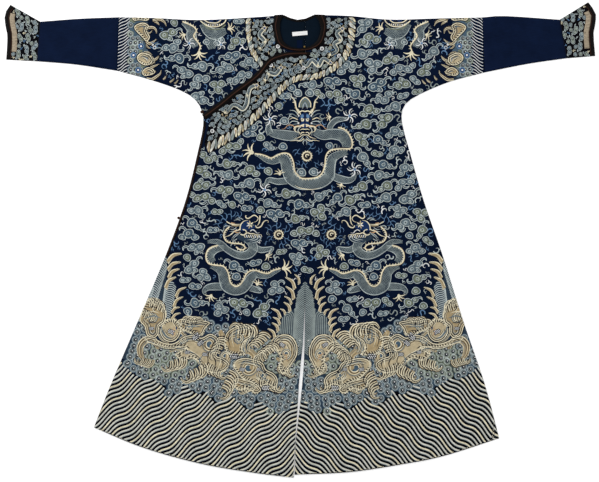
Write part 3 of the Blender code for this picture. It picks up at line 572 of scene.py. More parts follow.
def new_material(name, roughness, specular):
    """A material with its shader's own constants set; returns it with its tree and shader."""
    material = bpy.data.materials.new(name)
    material.use_nodes = True
    shader = material.node_tree.nodes["Principled BSDF"]
    shader.inputs["Roughness"].default_value = roughness
    shader.inputs["Specular IOR Level"].default_value = specular
    return material, material.node_tree, shader


def shade_of(colour, factor):
    """The colour, brighter or darker, with its alpha."""
    return (*[min(1.0, channel * factor) for channel in colour], 1)


def woven(name, colour, pitch, tint=None, roughness=0.6, specular=0.02, depth=0.12, patch=0.09,
          hem=False):
    """Silk satin, yarn dyed: a close weave with long floats, so it is smooth, dark and softly lit.

    Its 0.2 mm floats are too fine to show, so the pitch draws them coarser.
    """
    material, tree, shader = new_material(name, roughness, specular)
    where = add_node(tree, "ShaderNodeTexCoord").outputs["Object"]
    large = add_node(tree, "ShaderNodeTexNoise", [("Vector", where)],
                     {"Scale": 1 / patch, "Detail": 5, "Roughness": 0.6})
    slub = add_node(tree, "ShaderNodeMapping", [("Vector", where)], {"Scale": (1, 14, 1)})
    fine = add_node(tree, "ShaderNodeTexNoise", [("Vector", slub.outputs[0])],
                    {"Scale": 60, "Detail": 3})
    both = add_node(tree, "ShaderNodeMath", [(0, large.outputs[0]), (1, fine.outputs[0])],
                    operation="ADD")
    ramp = add_node(tree, "ShaderNodeValToRGB")
    half = add_node(tree, "ShaderNodeMath", [(0, both.outputs[0])], {1: 0.5}, operation="MULTIPLY")
    tree.links.new(half.outputs[0], ramp.inputs[0])
    ramp.color_ramp.elements[0].position = 0.36
    ramp.color_ramp.elements[1].position = 0.66
    ramp.color_ramp.elements[0].color = shade_of(colour, 0.72)
    ramp.color_ramp.elements[1].color = shade_of(tint or colour, 1.25)
    tree.links.new(ramp.outputs[0], shader.inputs["Base Color"])
    if hem:  # between the stripes along the hem the ground is worked in black
        places = add_node(tree, "ShaderNodeSeparateXYZ", [(0, where)])
        low = add_node(tree, "ShaderNodeMapRange", [(0, places.outputs[1])],
                       {1: -0.36, 2: -0.42, 3: 0.0, 4: 1.0})
        dark = add_node(tree, "ShaderNodeMix", [(0, low.outputs[0]), (6, ramp.outputs[0])],
                        data_type="RGBA")
        dark.inputs[7].default_value = (0.0012, 0.0014, 0.003, 1)
        tree.links.new(dark.outputs[2], shader.inputs["Base Color"])
    warp = add_node(tree, "ShaderNodeTexWave", [("Vector", where)],
                    {"Scale": WAVE_PITCH / pitch, "Distortion": 0.6, "Detail": 1}, bands_direction="X")
    weft = add_node(tree, "ShaderNodeTexWave", [("Vector", where)],
                    {"Scale": WAVE_PITCH / pitch, "Distortion": 0.6, "Detail": 1}, bands_direction="Y")
    cross = add_node(tree, "ShaderNodeMath", [(0, warp.outputs[1]), (1, weft.outputs[1])],
                     operation="MULTIPLY")
    bump = add_node(tree, "ShaderNodeBump", [("Height", cross.outputs[0])],
                    {"Strength": depth, "Distance": 0.0004})
    tree.links.new(bump.outputs[0], shader.inputs["Normal"])
    return material


def floss(name, colour, lean):
    """Untwisted silk floss laid in satin stitch: parallel threads with a soft, directional shine.

    Threads of 0.4 mm are too fine to show, so they are drawn about 1 mm apart, with painted shade in the
    grooves between them.
    """
    pitch = 0.0011
    material, tree, shader = new_material(name, 0.5, 0.06)
    where = add_node(tree, "ShaderNodeTexCoord").outputs["Object"]
    turned = add_node(tree, "ShaderNodeMapping", [("Vector", where)],
                      {"Rotation": (0, 0, math.radians(lean))})
    thread = add_node(tree, "ShaderNodeTexWave", [("Vector", turned.outputs[0])],
                      {"Scale": WAVE_PITCH / pitch, "Distortion": 1.4, "Detail": 2, "Detail Scale": 2})
    worn = add_node(tree, "ShaderNodeTexNoise", [("Vector", where)],
                    {"Scale": 70, "Detail": 4, "Roughness": 0.65})
    ramp = add_node(tree, "ShaderNodeValToRGB", [("Fac", worn.outputs[0])])
    ramp.color_ramp.elements[0].position = 0.32
    ramp.color_ramp.elements[1].position = 0.68
    ramp.color_ramp.elements[0].color = shade_of(colour, 0.78)
    ramp.color_ramp.elements[1].color = shade_of(colour, 1.18)
    # Painted shade: the colour darkens in the grooves between the drawn threads, on top of their bump.
    dark = add_node(tree, "ShaderNodeMix", [("Factor", thread.outputs[1])], data_type="RGBA")
    shaded = add_node(tree, "ShaderNodeMix", data_type="RGBA", blend_type="MULTIPLY")
    shaded.inputs[0].default_value = 0.4
    dark.inputs[6].default_value = (0.55, 0.55, 0.55, 1)
    dark.inputs[7].default_value = (1, 1, 1, 1)
    tree.links.new(ramp.outputs[0], shaded.inputs[6])
    tree.links.new(dark.outputs[2], shaded.inputs[7])
    tree.links.new(shaded.outputs[2], shader.inputs["Base Color"])
    bump = add_node(tree, "ShaderNodeBump", [("Height", thread.outputs[1])],
                    {"Strength": 0.35, "Distance": 0.0003})
    tree.links.new(bump.outputs[0], shader.inputs["Normal"])
    return material


def cast_brass(name, colour):
    """Cast brass, worn by handling: yellow metal, brighter where it is rubbed."""
    material, tree, shader = new_material(name, 0.35, 0.5)
    shader.inputs["Metallic"].default_value = 1.0
    where = add_node(tree, "ShaderNodeTexCoord").outputs["Object"]
    rub = add_node(tree, "ShaderNodeTexNoise", [("Vector", where)], {"Scale": 900, "Detail": 3})
    ramp = add_node(tree, "ShaderNodeValToRGB", [("Fac", rub.outputs[0])])
    ramp.color_ramp.elements[0].color = shade_of(colour, 0.6)
    ramp.color_ramp.elements[1].color = shade_of(colour, 1.2)
    tree.links.new(ramp.outputs[0], shader.inputs["Base Color"])
    return material


MATERIALS = {}


def thread(name):
    """The floss of a named colour, made once."""
    if name not in MATERIALS:
        colours = bpy.context.scene.robe_threads
        lean = 37.0 * (1 + sorted(RobeThreads.__annotations__).index(name))
        MATERIALS[name] = floss(name.capitalize() + " floss", getattr(colours, name), lean)
    return MATERIALS[name]


# ---------------------------------------------------------------- pieces

def finish_piece(name, surface, materials, slot, replaced=()):
    """Makes a piece from a bmesh, in place, makes it ride on the root and hides the parts it stands for."""
    mesh = bpy.data.meshes.new(name)
    surface.to_mesh(mesh)
    surface.free()
    mesh.polygons.foreach_set("use_smooth", [True] * len(mesh.polygons))
    for material in materials:
        mesh.materials.append(material)
    piece = bpy.data.objects.new(name, mesh)
    bpy.context.scene.collection.objects.link(piece)
    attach(piece, "root")
    if replaced:
        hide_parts(*replaced)
    return piece


def cloth_of(node):
    """A merged copy of a node's cloth."""
    surface = bmesh.new()
    surface.from_mesh(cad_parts[node].data)
    bmesh.ops.remove_doubles(surface, verts=surface.verts, dist=1e-6)
    return surface


def refine(surface, longest):
    """Divides the edges until none is longer than this, and evens the triangles of flat parts."""
    for _ in range(7):
        edges = [edge for edge in surface.edges if edge.calc_length() > longest]
        if not edges:
            break
        bmesh.ops.subdivide_edges(surface, edges=edges, cuts=1)
        bmesh.ops.triangulate(surface, faces=[f for f in surface.faces if len(f.verts) > 3])
        surface.normal_update()
        flat = {face for face in surface.faces if abs(face.normal.z) > 0.9}
        inner = [edge for edge in surface.edges if len(edge.link_faces) == 2
                 and all(face in flat for face in edge.link_faces)]
        bmesh.ops.beautify_fill(surface, faces=list(flat), edges=inner)


def rim_of(surface):
    """The vertices round the cut edges and folds of a thin sheet."""
    surface.normal_update()
    return {vert for face in surface.faces if abs(face.normal.z) < 0.5 for vert in face.verts}


def lay_cloth(surface, passes):
    """Eases the facets out of a sheet and raises its soft creases."""
    rim = rim_of(surface)
    inner = [vert for vert in surface.verts if vert not in rim]
    for _ in range(passes):
        bmesh.ops.smooth_vert(surface, verts=inner, factor=0.5, use_axis_z=True)
    for vert in surface.verts:
        if vert.co.z > CLOTH_TOP:
            vert.co.z += crease_at(vert.co.x / MM, vert.co.y / MM) * MM


def pad(surface, crown, half, drop, open_ends=()):
    """Raises the top of a strip towards its middle; it isn't rounded down at its open ends."""
    rim = rim_of(surface)
    bound = [v for v in rim if not any((v.co.xy - Vector(e) * MM).length < 0.012 for e in open_ends)]
    tree = KDTree(len(bound))
    for index, vert in enumerate(bound):
        tree.insert((vert.co.x, vert.co.y, 0), index)
    tree.balance()
    surface.normal_update()
    for vert in surface.verts:
        if vert.normal.z > 0.3:
            distance = tree.find((vert.co.x, vert.co.y, 0))[2] / MM
            part = min(1.0, distance / half)
            vert.co.z += (crown * (1 - (1 - part) ** 2) - drop * (1 - part) ** 2) * MM


class Ground:
    """What needlework lies on, and what covers it, both seen from above."""

    def __init__(self, under, over=()):
        self.under = bmesh.new()
        self.over = bmesh.new()
        for piece in under:
            self.under.from_mesh(piece.data)
        for piece in over:
            self.over.from_mesh(piece.data)
        self.under_tree = BVHTree.FromBMesh(self.under)
        self.over_tree = BVHTree.FromBMesh(self.over)

    def add(self, piece):
        """Lays a piece on the ground, so that what follows lies on it."""
        self.under.from_mesh(piece.data)
        self.under_tree = BVHTree.FromBMesh(self.under)

    def height(self, x, y):
        """The height at a place in metres, or None past the edge, and whether it shows."""
        top = Vector((x, y, 0.1))
        found = self.under_tree.ray_cast(top, Vector((0, 0, -1)))[0]
        if found is None:
            return None, False
        cover = self.over_tree.ray_cast(top, Vector((0, 0, -1)))[0]
        return found.z, found.z > CLOTH_TOP and (cover is None or cover.z < found.z)

    def shows(self, x, y):
        """True where nothing covers the ground, at a place in millimetres."""
        return self.height(x * MM, y * MM)[1]

    def nearest(self, x, y):
        """The nearest place on the edge, and its height."""
        spot = self.under_tree.find_nearest(Vector((x, y, 0.003)))[0]
        inwards = Vector((spot.x - x, spot.y - y)).normalized() * 0.0006
        height = self.height(spot.x + inwards.x, spot.y + inwards.y)[0]
        return spot.x, spot.y, spot.z if height is None else height


PROFILES = {  # half the cross-section of each kind of stitch line, as shares of its width
    "satin": ((0.5, 0.0), (0.0, 0.17)),
    "flat": ((0.5, 0.0), (0.0, 0.05)),
    "stripe": ((0.5, 0.0), (0.32, 0.055), (0.0, 0.08)),
    "padding": ((0.5, 0.0), (0.38, 0.022), (0.18, 0.036), (0.0, 0.040)),
    "cord": ((0.5, 0.0), (0.42, 0.26), (0.2, 0.44), (0.0, 0.5)),
}


class Needlework:
    """Gathers stitch lines and filled shapes, in millimetres, and lays them on the cloth."""

    def __init__(self, name):
        self.name = name
        self.lines = {}
        self.shapes = {}

    def line(self, colour, points, width, lift=0.1, closed=False, taper="", kind="satin"):
        """A line of stitches along the points; width is one number or one for each point.

        It is tapered towards its end, towards both ends, or not at all.
        """
        points = [(point[0], point[1]) for point in points]
        count = len(points)
        widths = list(width) if hasattr(width, "__len__") else [width] * count
        for index in range(count):
            part = index / max(1, count - 1)
            if taper == "both":
                widths[index] *= 0.3 + 0.7 * min(1.0, part * 3)
            if taper:
                widths[index] *= 0.25 + 0.75 * min(1.0, (1 - part) * 2.2)
        self.lines.setdefault((colour, kind), []).append((points, widths, lift, closed))

    def shape(self, colour, outline, lift=0.1, dome=0.0):
        """A filled shape; a dome raises its middle, for a shape that is round enough."""
        points = [(point[0], point[1]) for point in outline]
        self.shapes.setdefault(colour, []).append((points, lift, dome))

    def dot(self, colour, x, y, radius, lift=0.2, count=8, dome=0.3):
        """A filled disc, drawn with a few corners."""
        self.shape(colour, ring(x, y, radius, count), lift, dome)

    def ribbons(self, kind, lines):
        """A mesh of the lines, each a ridge of its own width."""
        half = PROFILES[kind]
        section = [(-w, h) for w, h in half] + [(w, h) for w, h in half[-2::-1]]
        profile = bpy.data.curves.new("Section", "CURVE")
        spline = profile.splines.new("POLY")
        spline.points.add(len(section) - 1)
        for point, (across, up) in zip(spline.points, section):
            point.co = (across, up, 0, 1)
        curve = bpy.data.curves.new("Stitches", "CURVE")
        curve.dimensions = "3D"
        curve.twist_mode = "Z_UP"
        things = [bpy.data.objects.new(data.name, data) for data in (profile, curve)]
        for thing in things:
            bpy.context.scene.collection.objects.link(thing)
        curve.bevel_mode = "OBJECT"
        curve.bevel_object = things[0]
        for points, widths, lift, closed in lines:
            spline = curve.splines.new("POLY")
            spline.points.add(len(points) - 1)
            flat = [v for x, y in points for v in (x * MM, y * MM, lift * MM, 1)]
            spline.points.foreach_set("co", flat)
            spline.points.foreach_set("radius", [width * MM for width in widths])
            spline.use_cyclic_u = closed
        evaluated = things[1].evaluated_get(bpy.context.evaluated_depsgraph_get())
        mesh = bpy.data.meshes.new_from_object(evaluated)
        for thing in things:
            bpy.data.objects.remove(thing)
        return mesh

    def lay(self, ground, slot, side=None):
        """Makes the piece, draped on the ground and cut at its edges; returns its object."""
        surface = bmesh.new()
        colours = sorted({colour for colour, _ in self.lines} | set(self.shapes))
        for (colour, kind), lines in sorted(self.lines.items()):
            mesh = self.ribbons(kind, lines)
            mesh.materials.clear()
            for _ in colours:
                mesh.materials.append(None)
            index = [colours.index(colour)] * len(mesh.polygons)
            mesh.polygons.foreach_set("material_index", index)
            surface.from_mesh(mesh)
            bpy.data.meshes.remove(mesh)
        domed = {}
        broad = bmesh.new()
        for colour, shapes in sorted(self.shapes.items()):
            for outline, lift, dome in shapes:
                spread = max(x for x, _ in outline) - min(x for x, _ in outline)
                target = broad if dome == 0 and spread > 40 else surface
                corners = [target.verts.new((x * MM, y * MM, lift * MM)) for x, y in outline]
                face = target.faces.new(corners)
                face.material_index = colours.index(colour)
                if target is surface:
                    domed.setdefault(dome, []).append(face)
        bmesh.ops.triangulate(broad, faces=broad.faces)
        refine(broad, 0.010)
        mesh = bpy.data.meshes.new("Broad")
        broad.to_mesh(mesh)
        broad.free()
        surface.from_mesh(mesh)
        bpy.data.meshes.remove(mesh)
        surface.normal_update()
        down = [face for face in surface.faces if face.normal.z < 0]
        bmesh.ops.reverse_faces(surface, faces=down)
        surface.normal_update()
        for dome, faces in domed.items():
            if dome:
                bmesh.ops.poke(surface, faces=faces, offset=dome * MM)
            else:
                bmesh.ops.triangulate(surface, faces=faces)
        drape(surface, ground, side)
        return finish_piece(self.name, surface, [thread(colour) for colour in colours], slot)


def drape(surface, ground, side):
    """Drops flat work onto the ground; what lies past the edge is cut off or drawn in to it."""
    sign = {"left": 1, "right": -1, None: 0}[side]
    shown, past = set(), set()
    for vert in surface.verts:
        x, y = vert.co.x, vert.co.y
        if sign:
            middle, opening = middle_at(y / MM)
            edge = (middle + sign * (opening / 2 + 0.2)) * MM
            if (x - edge) * sign < 0:
                vert.co.x = x = edge
                height, _ = ground.height(x + sign * 0.0004, y)
                if height is None:
                    past.add(vert)
                else:
                    vert.co.z += height
                continue
        height, clear = ground.height(x, y)
        if height is None:
            past.add(vert)
        else:
            vert.co.z += height
            if clear:
                shown.add(vert)
    lost = [face for face in surface.faces if not any(vert in shown for vert in face.verts)]
    bmesh.ops.delete(surface, geom=lost, context="FACES")
    for vert in list(past):
        if vert.is_valid and vert.link_faces:
            x, y, height = ground.nearest(vert.co.x, vert.co.y)
            vert.co = Vector((x, y, vert.co.z + height))
    loose = [vert for vert in surface.verts if not vert.link_faces]
    bmesh.ops.delete(surface, geom=loose, context="VERTS")


class Room:
    """Keeps count of the places that are taken."""

    CELL = 40

    def __init__(self, ground):
        self.ground = ground
        self.cells = {}

    def take(self, x, y, radius):
        """Takes a round place."""
        key = (int(x // self.CELL), int(y // self.CELL))
        self.cells.setdefault(key, []).append((x, y, radius))

    def take_line(self, line, extra=0.0):
        """Takes the room under a smooth line of (x, y, width)."""
        for point in line:
            self.take(point[0], point[1], point[2] / 2 + extra)

    def free(self, x, y, radius, margin=0.0, edge=0.6):
        """True where nothing is taken within the radius and the cloth shows there."""
        column, row = int(x // self.CELL), int(y // self.CELL)
        for near_column in (column - 1, column, column + 1):
            for near_row in (row - 1, row, row + 1):
                for other in self.cells.get((near_column, near_row), ()):
                    reach = other[2] + radius + margin
                    if (other[0] - x) ** 2 + (other[1] - y) ** 2 < reach * reach:
                        return False
        if not self.ground.shows(x, y):
            return False
        for angle in range(0, 360, 90):
            turn = math.radians(angle)
            away = edge * radius
            if not self.ground.shows(x + away * math.cos(turn), y + away * math.sin(turn)):
                return False
        return True


# ---------------------------------------------------------------- motifs

def lobe(x, y, radius, tilt, count=16):
    """The outline of one bulging lobe of a cloud."""
    place = placed(x, y, tilt)
    points = []
    for index in range(count):
        angle = 2 * math.pi * index / count
        reach = radius * (1 + 0.07 * math.cos(3 * angle + tilt) + 0.05 * math.sin(2 * angle - tilt))
        points.append(place(1.12 * reach * math.cos(angle), 0.88 * reach * math.sin(angle)))
    return points


def cloud(work, place, kind, fill, line="outline"):
    """A cluster of curled lobes, which share one pale outline, with drawn-out tails."""
    size = (Vector(place(1, 0)) - Vector(place(0, 0))).length
    for tail in kind.tails:
        path = laid(place, smooth(tail, 4))
        work.line(line, path, 7.4 * size, 0.05, taper="end")
        work.line("slate", path[:-2], 3.4 * size, 0.95, taper="end")
    for index, (x, y, radius) in enumerate(kind.lobes):
        tilt = 24 * (index % 3 - 1)
        for inset, colour, lift in ((0, line, 0.1), (2.2, "slate", 0.3), (4.1, fill, 0.42)):
            work.shape(colour, laid(place, lobe(x, y, radius - inset, tilt)), lift, 0.5)
        turn = 90 + 140 * index
        curl = spiral(x, y, 0.46 * radius, turn + 30, 1.15, 0.14 * radius, 10)
        work.line(line, laid(place, curl), 2.1 * size, 0.8)
        work.shape("ink", laid(place, lobe(x + 0.6, y, 0.13 * radius, tilt, 6)), 1.05, 0.1)


def put_cloud(room, kind, x, y, size, turn, flip, margin, allowed=None):
    """Takes the room for a cloud and returns its place, or None where it doesn't fit."""
    place = placed(x, y, turn, size, flip)
    lobes = [(*place(u, v), radius * size) for u, v, radius in kind.lobes]
    ends = [(*place(*tail[len(tail) // 2][:2]), 3.5 * size) for tail in kind.tails]
    for u, v, radius in lobes + ends:
        if not room.free(u, v, radius, margin) or (allowed and not allowed(u, v - 8)):
            return None
    for spot in lobes:
        room.take(*spot)
    for tail in kind.tails:
        for point in smooth(tail, 6):
            room.take(*place(*point[:2]), 3.2 * size)
    return place


def strokes(work, place, colour, width, lines, lift=0.5, step=3.5, taper="end"):
    """Curves of one colour and width, laid out at a place."""
    for line in lines:
        work.line(colour, laid(place, smooth(line, step)), width, lift, taper=taper)


def draw(work, place, rows):
    """Rows of colour, width, lift and curves, laid out at a place."""
    for colour, width, lift, *lines in rows:
        strokes(work, place, colour, width, lines, lift)


def squiggle(work, place, kind, colour, width):
    """A short curl or fork of thin lines."""
    strokes(work, place, colour, width, kind, 0.1, 2.4)


def star_claw(work, x, y, size, turn):
    """The spread claw of a dragon in white and blue, seen from above."""
    work.dot("sky", x, y, 5.5 * size, 0.3, 10, 0.5)
    for toe in range(5):
        place = placed(x, y, turn + 72 * toe, size)
        strokes(work, place, "white", 3.6 * size, [((4, 0), (12, 3), (19, 1), (24, -5))], 0.3)
        strokes(work, place, "outline", 2.0 * size, [((11, -3), (17, -6), (18, -11))], 0.2, 3)


def claw(work, x, y, angle, size):
    """A five-toed claw, its toes spread round its angle."""
    work.dot("cream", x, y, 5.0 * size, 0.4, 10, 0.8)
    for toe in range(5):
        place = placed(x, y, angle + 36 * (toe - 2), size)
        bend = 4 if toe < 2 else -4
        strokes(work, place, "cream", 3.8 * size, [((3, 0), (11, bend * 0.4), (19, 0), (25, -bend))], 0.4)


def scaled_body(forms, stitches, spine):
    """A length of padded body with its rows of small scales and its edges."""
    path = smooth(spine, 4.0)
    forms.line("slate", path, [point.z for point in path], 0.1, kind="padding")
    fine = smooth(spine, 2.8)
    for row, (before, point, after) in enumerate(zip(fine, fine[1:], fine[2:])):
        along = (after - before).to_2d().normalized()
        across = Vector((-along.y, along.x))
        lanes = max(1, round(point.z * 0.9 / 5.2))
        for lane in range(lanes + row % 2):
            share = (lane + 0.5 - 0.5 * (row % 2)) / lanes - 0.5
            spot = point.xy + across * share * point.z * 0.9
            corners = (spot + along * 1.9, spot + across * 1.55, spot - along * 1.5, spot - across * 1.55)
            stitches.shape("scale", corners, 0.14)
    for side in (0.49, -0.49):
        stitches.line("outline", beside(path, lambda width: side * width), 2.2, 0.08, taper="both")


def scaled_lengths(forms, stitches, room, spines, extra):
    """Lengths of a dragon's body, which take their room."""
    for spine in spines:
        scaled_body(forms, stitches, spine)
        room.take_line(smooth(spine, 10), extra)


def back_line(stitches, points, side):
    """The raised line along a dragon's back, with its row of small spines."""
    width, tooth = 3.3, 4.5
    path = smooth(points, 4.5)
    stitches.line("cream", path, width, 0.6)
    stitches.line("tan", beside(path, -side * width * 0.62), 1.3, 0.5)
    for index in range(2, len(path) - 1, 2):
        along = (path[index + 1] - path[index - 1]).to_2d().normalized()
        across = Vector((-along.y, along.x)) * side
        base = path[index].to_2d() + across * width * 0.35
        tip = base + across * tooth - along * 1.5
        stitches.line("cream", [base, (base + tip) / 2, tip], [2.6, 2.0, 0.8], 0.5)


def pearl(work, x, y, radius):
    """A flaming pearl: a dark disc with a comma in it, in a fringed ring."""
    rays = 14
    work.dot("ink", x, y, radius * 0.86, 0.2, 16, 0.2)
    work.line("cream", ring(x, y, radius, 20), radius * 0.24, 0.35, closed=True)
    work.line("tan", ring(x, y, radius * 0.8, 18), 1.2, 0.4, closed=True)
    for index in range(rays):
        a = 2 * math.pi * index / rays
        start = (x + radius * 1.08 * math.cos(a), y + radius * 1.08 * math.sin(a))
        end = (x + radius * 1.32 * math.cos(a + 0.16), y + radius * 1.32 * math.sin(a + 0.16))
        work.line("cream", [start, end], [1.9, 0.9], 0.3)
    comma = spiral(x, y, radius * 0.46, 20, 0.72, radius * 0.2, 9)
    work.line("cream", comma, [radius * (0.30 - 0.018 * k) for k in range(10)], 0.45)


def front_head(stitches, place):
    """The dragon's face from the front; its own middle is between the eyes."""
    stitches.shape("indigo", laid(place, round_points(0, -2, 19, 23, 20)), 0.5, 1.0)
    strokes(stitches, place, "ink", 3.0, [((0, 20), (0, 4), (0, -12))], 1.2, taper="")
    for flip in (False, True):
        def half(u, v, flip=flip):
            return place(-u if flip else u, v)
        stitches.shape("sky", laid(half, round_points(8.5, 11, 5, 6, 10, 20)), 1.2, 0.2)
        stitches.shape("ink", laid(half, round_points(15.5, -6, 4.5, 8, 10, 20)), 1.1, 0.2)
        stitches.shape("cream", laid(half, EYE), 1.3, 0.4)
        for colour, u, v, radius, lift, count in FACE_DOTS:
            stitches.dot(colour, *half(u, v), radius, lift, count)
        draw(stitches, half, FACE_LINES)
        for index in range(8):
            turn = math.radians(58 - 17 * index)
            reach = 26 + 6 * (index % 3)
            start = (19 * math.cos(turn) + 3, 21 * math.sin(turn) - 2)
            middle = (start[0] + 0.55 * reach * math.cos(turn), start[1] + 0.5 * reach * math.sin(turn) + 4)
            end = (start[0] + reach * math.cos(turn - 0.25), start[1] + reach * math.sin(turn - 0.25) + 3)
            colour = ("cream", "outline", "steel")[index % 3]
            strokes(stitches, half, colour, 2.6, [(start, middle, end)], 0.6)
    crest = ((-18, 38), (-16, 50), (-10, 61), (0, 68), (10, 62), (17, 51), (17, 38))
    stitches.shape("steel", laid(place, smooth(crest, 5)), 0.3, 0.6)
    for colour, width, lift, line in (
            ("cream", 3.0, 0.8, crest),
            ("olive", 3.4, 0.9, ((-12, 37), (-10, 49), (0, 59), (10, 49), (12, 37))),
            ("outline", 1.8, 1.0, ((-7, 34), (-5, 44), (0, 52), (5, 44), (7, 34)))):
        strokes(stitches, place, colour, width, [line], lift, taper="")
    stitches.shape("ink", laid(place, ((-3, 34), (0, 47), (3, 34))), 1.0)


def side_head(stitches, place):
    """The dragon's face from the side, with its horns, whiskers and toothed jaw."""
    stitches.shape("indigo", laid(place, smooth(CHEEK, 6, closed=True)), 0.4)
    stitches.shape("slate", laid(place, smooth(JAW, 6, closed=True)), 0.3)
    eye_u, eye_y = 166, 47
    for turn, reach, tone in ((100, 12, "sand"), (150, 11, "cream"), (205, 12, "white"), (250, 13, "sand"),
                              (300, 10, "cream"), (345, 12, "olive"), (35, 11, "cream")):
        du, dy = math.cos(math.radians(turn)), math.sin(math.radians(turn))
        ray = [place(eye_u - reach * part * du, eye_y + reach * part * dy) for part in (0.15, 0.6, 1.0)]
        stitches.line(tone, ray, [4.2, 3.6, 1.6], 0.9)
    stitches.dot("ink", *place(eye_u, eye_y), 2.6, 1.4, 8)
    stitches.dot("white", *place(eye_u, eye_y), 1.1, 1.7, 6)
    draw(stitches, place, SIDE_LINES)
    for index in range(8):
        start, end = place(185 - 6.4 * index, 15), place(181 - 6.4 * index, 7)
        stitches.line("white" if index % 2 else "cream", [start, end], [2.8, 2.0], 0.9)


def small_head(work, dragon):
    """The head at the start of one of the collar's small dragons."""
    head = Vector(dragon[0])
    out = (head - Vector(dragon[1])).normalized()
    side = Vector((-out.y, out.x))
    work.dot("indigo", *head, 5.2, 0.6, 10, 0.4)
    work.line("cream", ring(*head, 5.2, 12), 1.7, 0.8, closed=True)
    for share in (-1, 1):
        eye = head + side * 2.1 * share + out * 1.2
        work.dot("white", *eye, 1.2, 1.3, 6, 0.2)
        for colour, width, points in (("cream", 1.8, ((3.4, -3), (7, -6), (7.6, -11))),
                                      ("sand", 1.7, ((2.6, 4.6), (5.6, 8), (9.4, 7.4)))):
            path = [head + side * across * share + out * along for across, along in points]
            work.line(colour, path, width, 0.6, taper="end")


def fork(work, place, size):
    """A curling fork of flame."""
    for stroke in (((-14, -6), (-6, -2), (0, 4), (-4, 11), (-12, 13)), ((0, 4), (8, 6), (13, 13)),
                   ((-6, -2), (2, -8), (12, -7), (16, -1))):
        path = [place(p[0] * size, p[1] * size) for p in smooth(stroke, 4)]
        work.line("sky", path, 2.3 * size, 0.15, taper="both")


def toothed_claw(work, item, place):
    """One of the toothed claws of a wave peak: a curved blade with teeth on its lower edge."""
    base, tip, width = Vector(item[:2]), Vector(item[2:4]), item[4]
    along = (tip - base).normalized()
    down = Vector((along.y, -along.x))
    if down.y > 0:
        down.negate()
    bow = (base + tip) / 2 - down * (tip - base).length * 0.17
    spine = [point.xy for point in smooth((base, bow, tip), 4.2)]
    last = len(spine) - 1
    middle = [place(*(p + down * width * 0.3)) for p in spine]
    work.line("tan", middle, width * 0.85, 0.25, taper="end")
    work.line("cream", laid(place, spine), width * 0.30, 0.8, taper="end")
    for index in range(2 * last + 1):
        size = 1 - 0.3 * index / last
        point = spine[index // 2] + (spine[min(last, index // 2 + 1)] - spine[index // 2]) * 0.5 * (index % 2)
        ends = [place(*(point + down * width * share * size)) for share in (0.24, 0.95)]
        work.line(("cream", "ink")[index % 2], ends, [(2.8, 2.4), (1.9, 1.6)][index % 2], 0.7)


def finger(forms, stitches, path, width, colour="tan"):
    """A curved, pointed finger of surf or claw, pale along one side and dark along the other."""
    points = [Vector((point[0], point[1], 0)) for point in path]
    last = len(points) - 1
    widths = []
    for k in range(last + 1):
        widths.append(width * (0.72 + 0.28 * math.sin(math.pi * k / last) - 0.6 * (k / last) ** 2))
    forms.line(colour, points, widths, 1.0, kind="padding")
    for share, tone, wide in (
            (0.40, "cream", 0.22), (0.12, "ink", 0.16), (-0.10, "cream", 0.12), (-0.42, "ink", 0.22)):
        moved = beside(points, share * width)
        edge = [point.lerp(far, wanted / width) for point, far, wanted in zip(points, moved, widths)]
        stitches.line(tone, edge, wide * width, 0.2, taper="end")


def inside(u, y, outline):
    """True within an outline, by counting the edges on one side."""
    count = 0
    for (u0, y0), (u1, y1) in zip(outline, outline[1:] + outline[:1]):
        if (y0 > y) != (y1 > y) and u < u0 + (u1 - u0) * (y - y0) / (y1 - y0):
            count += 1
    return count % 2 == 1


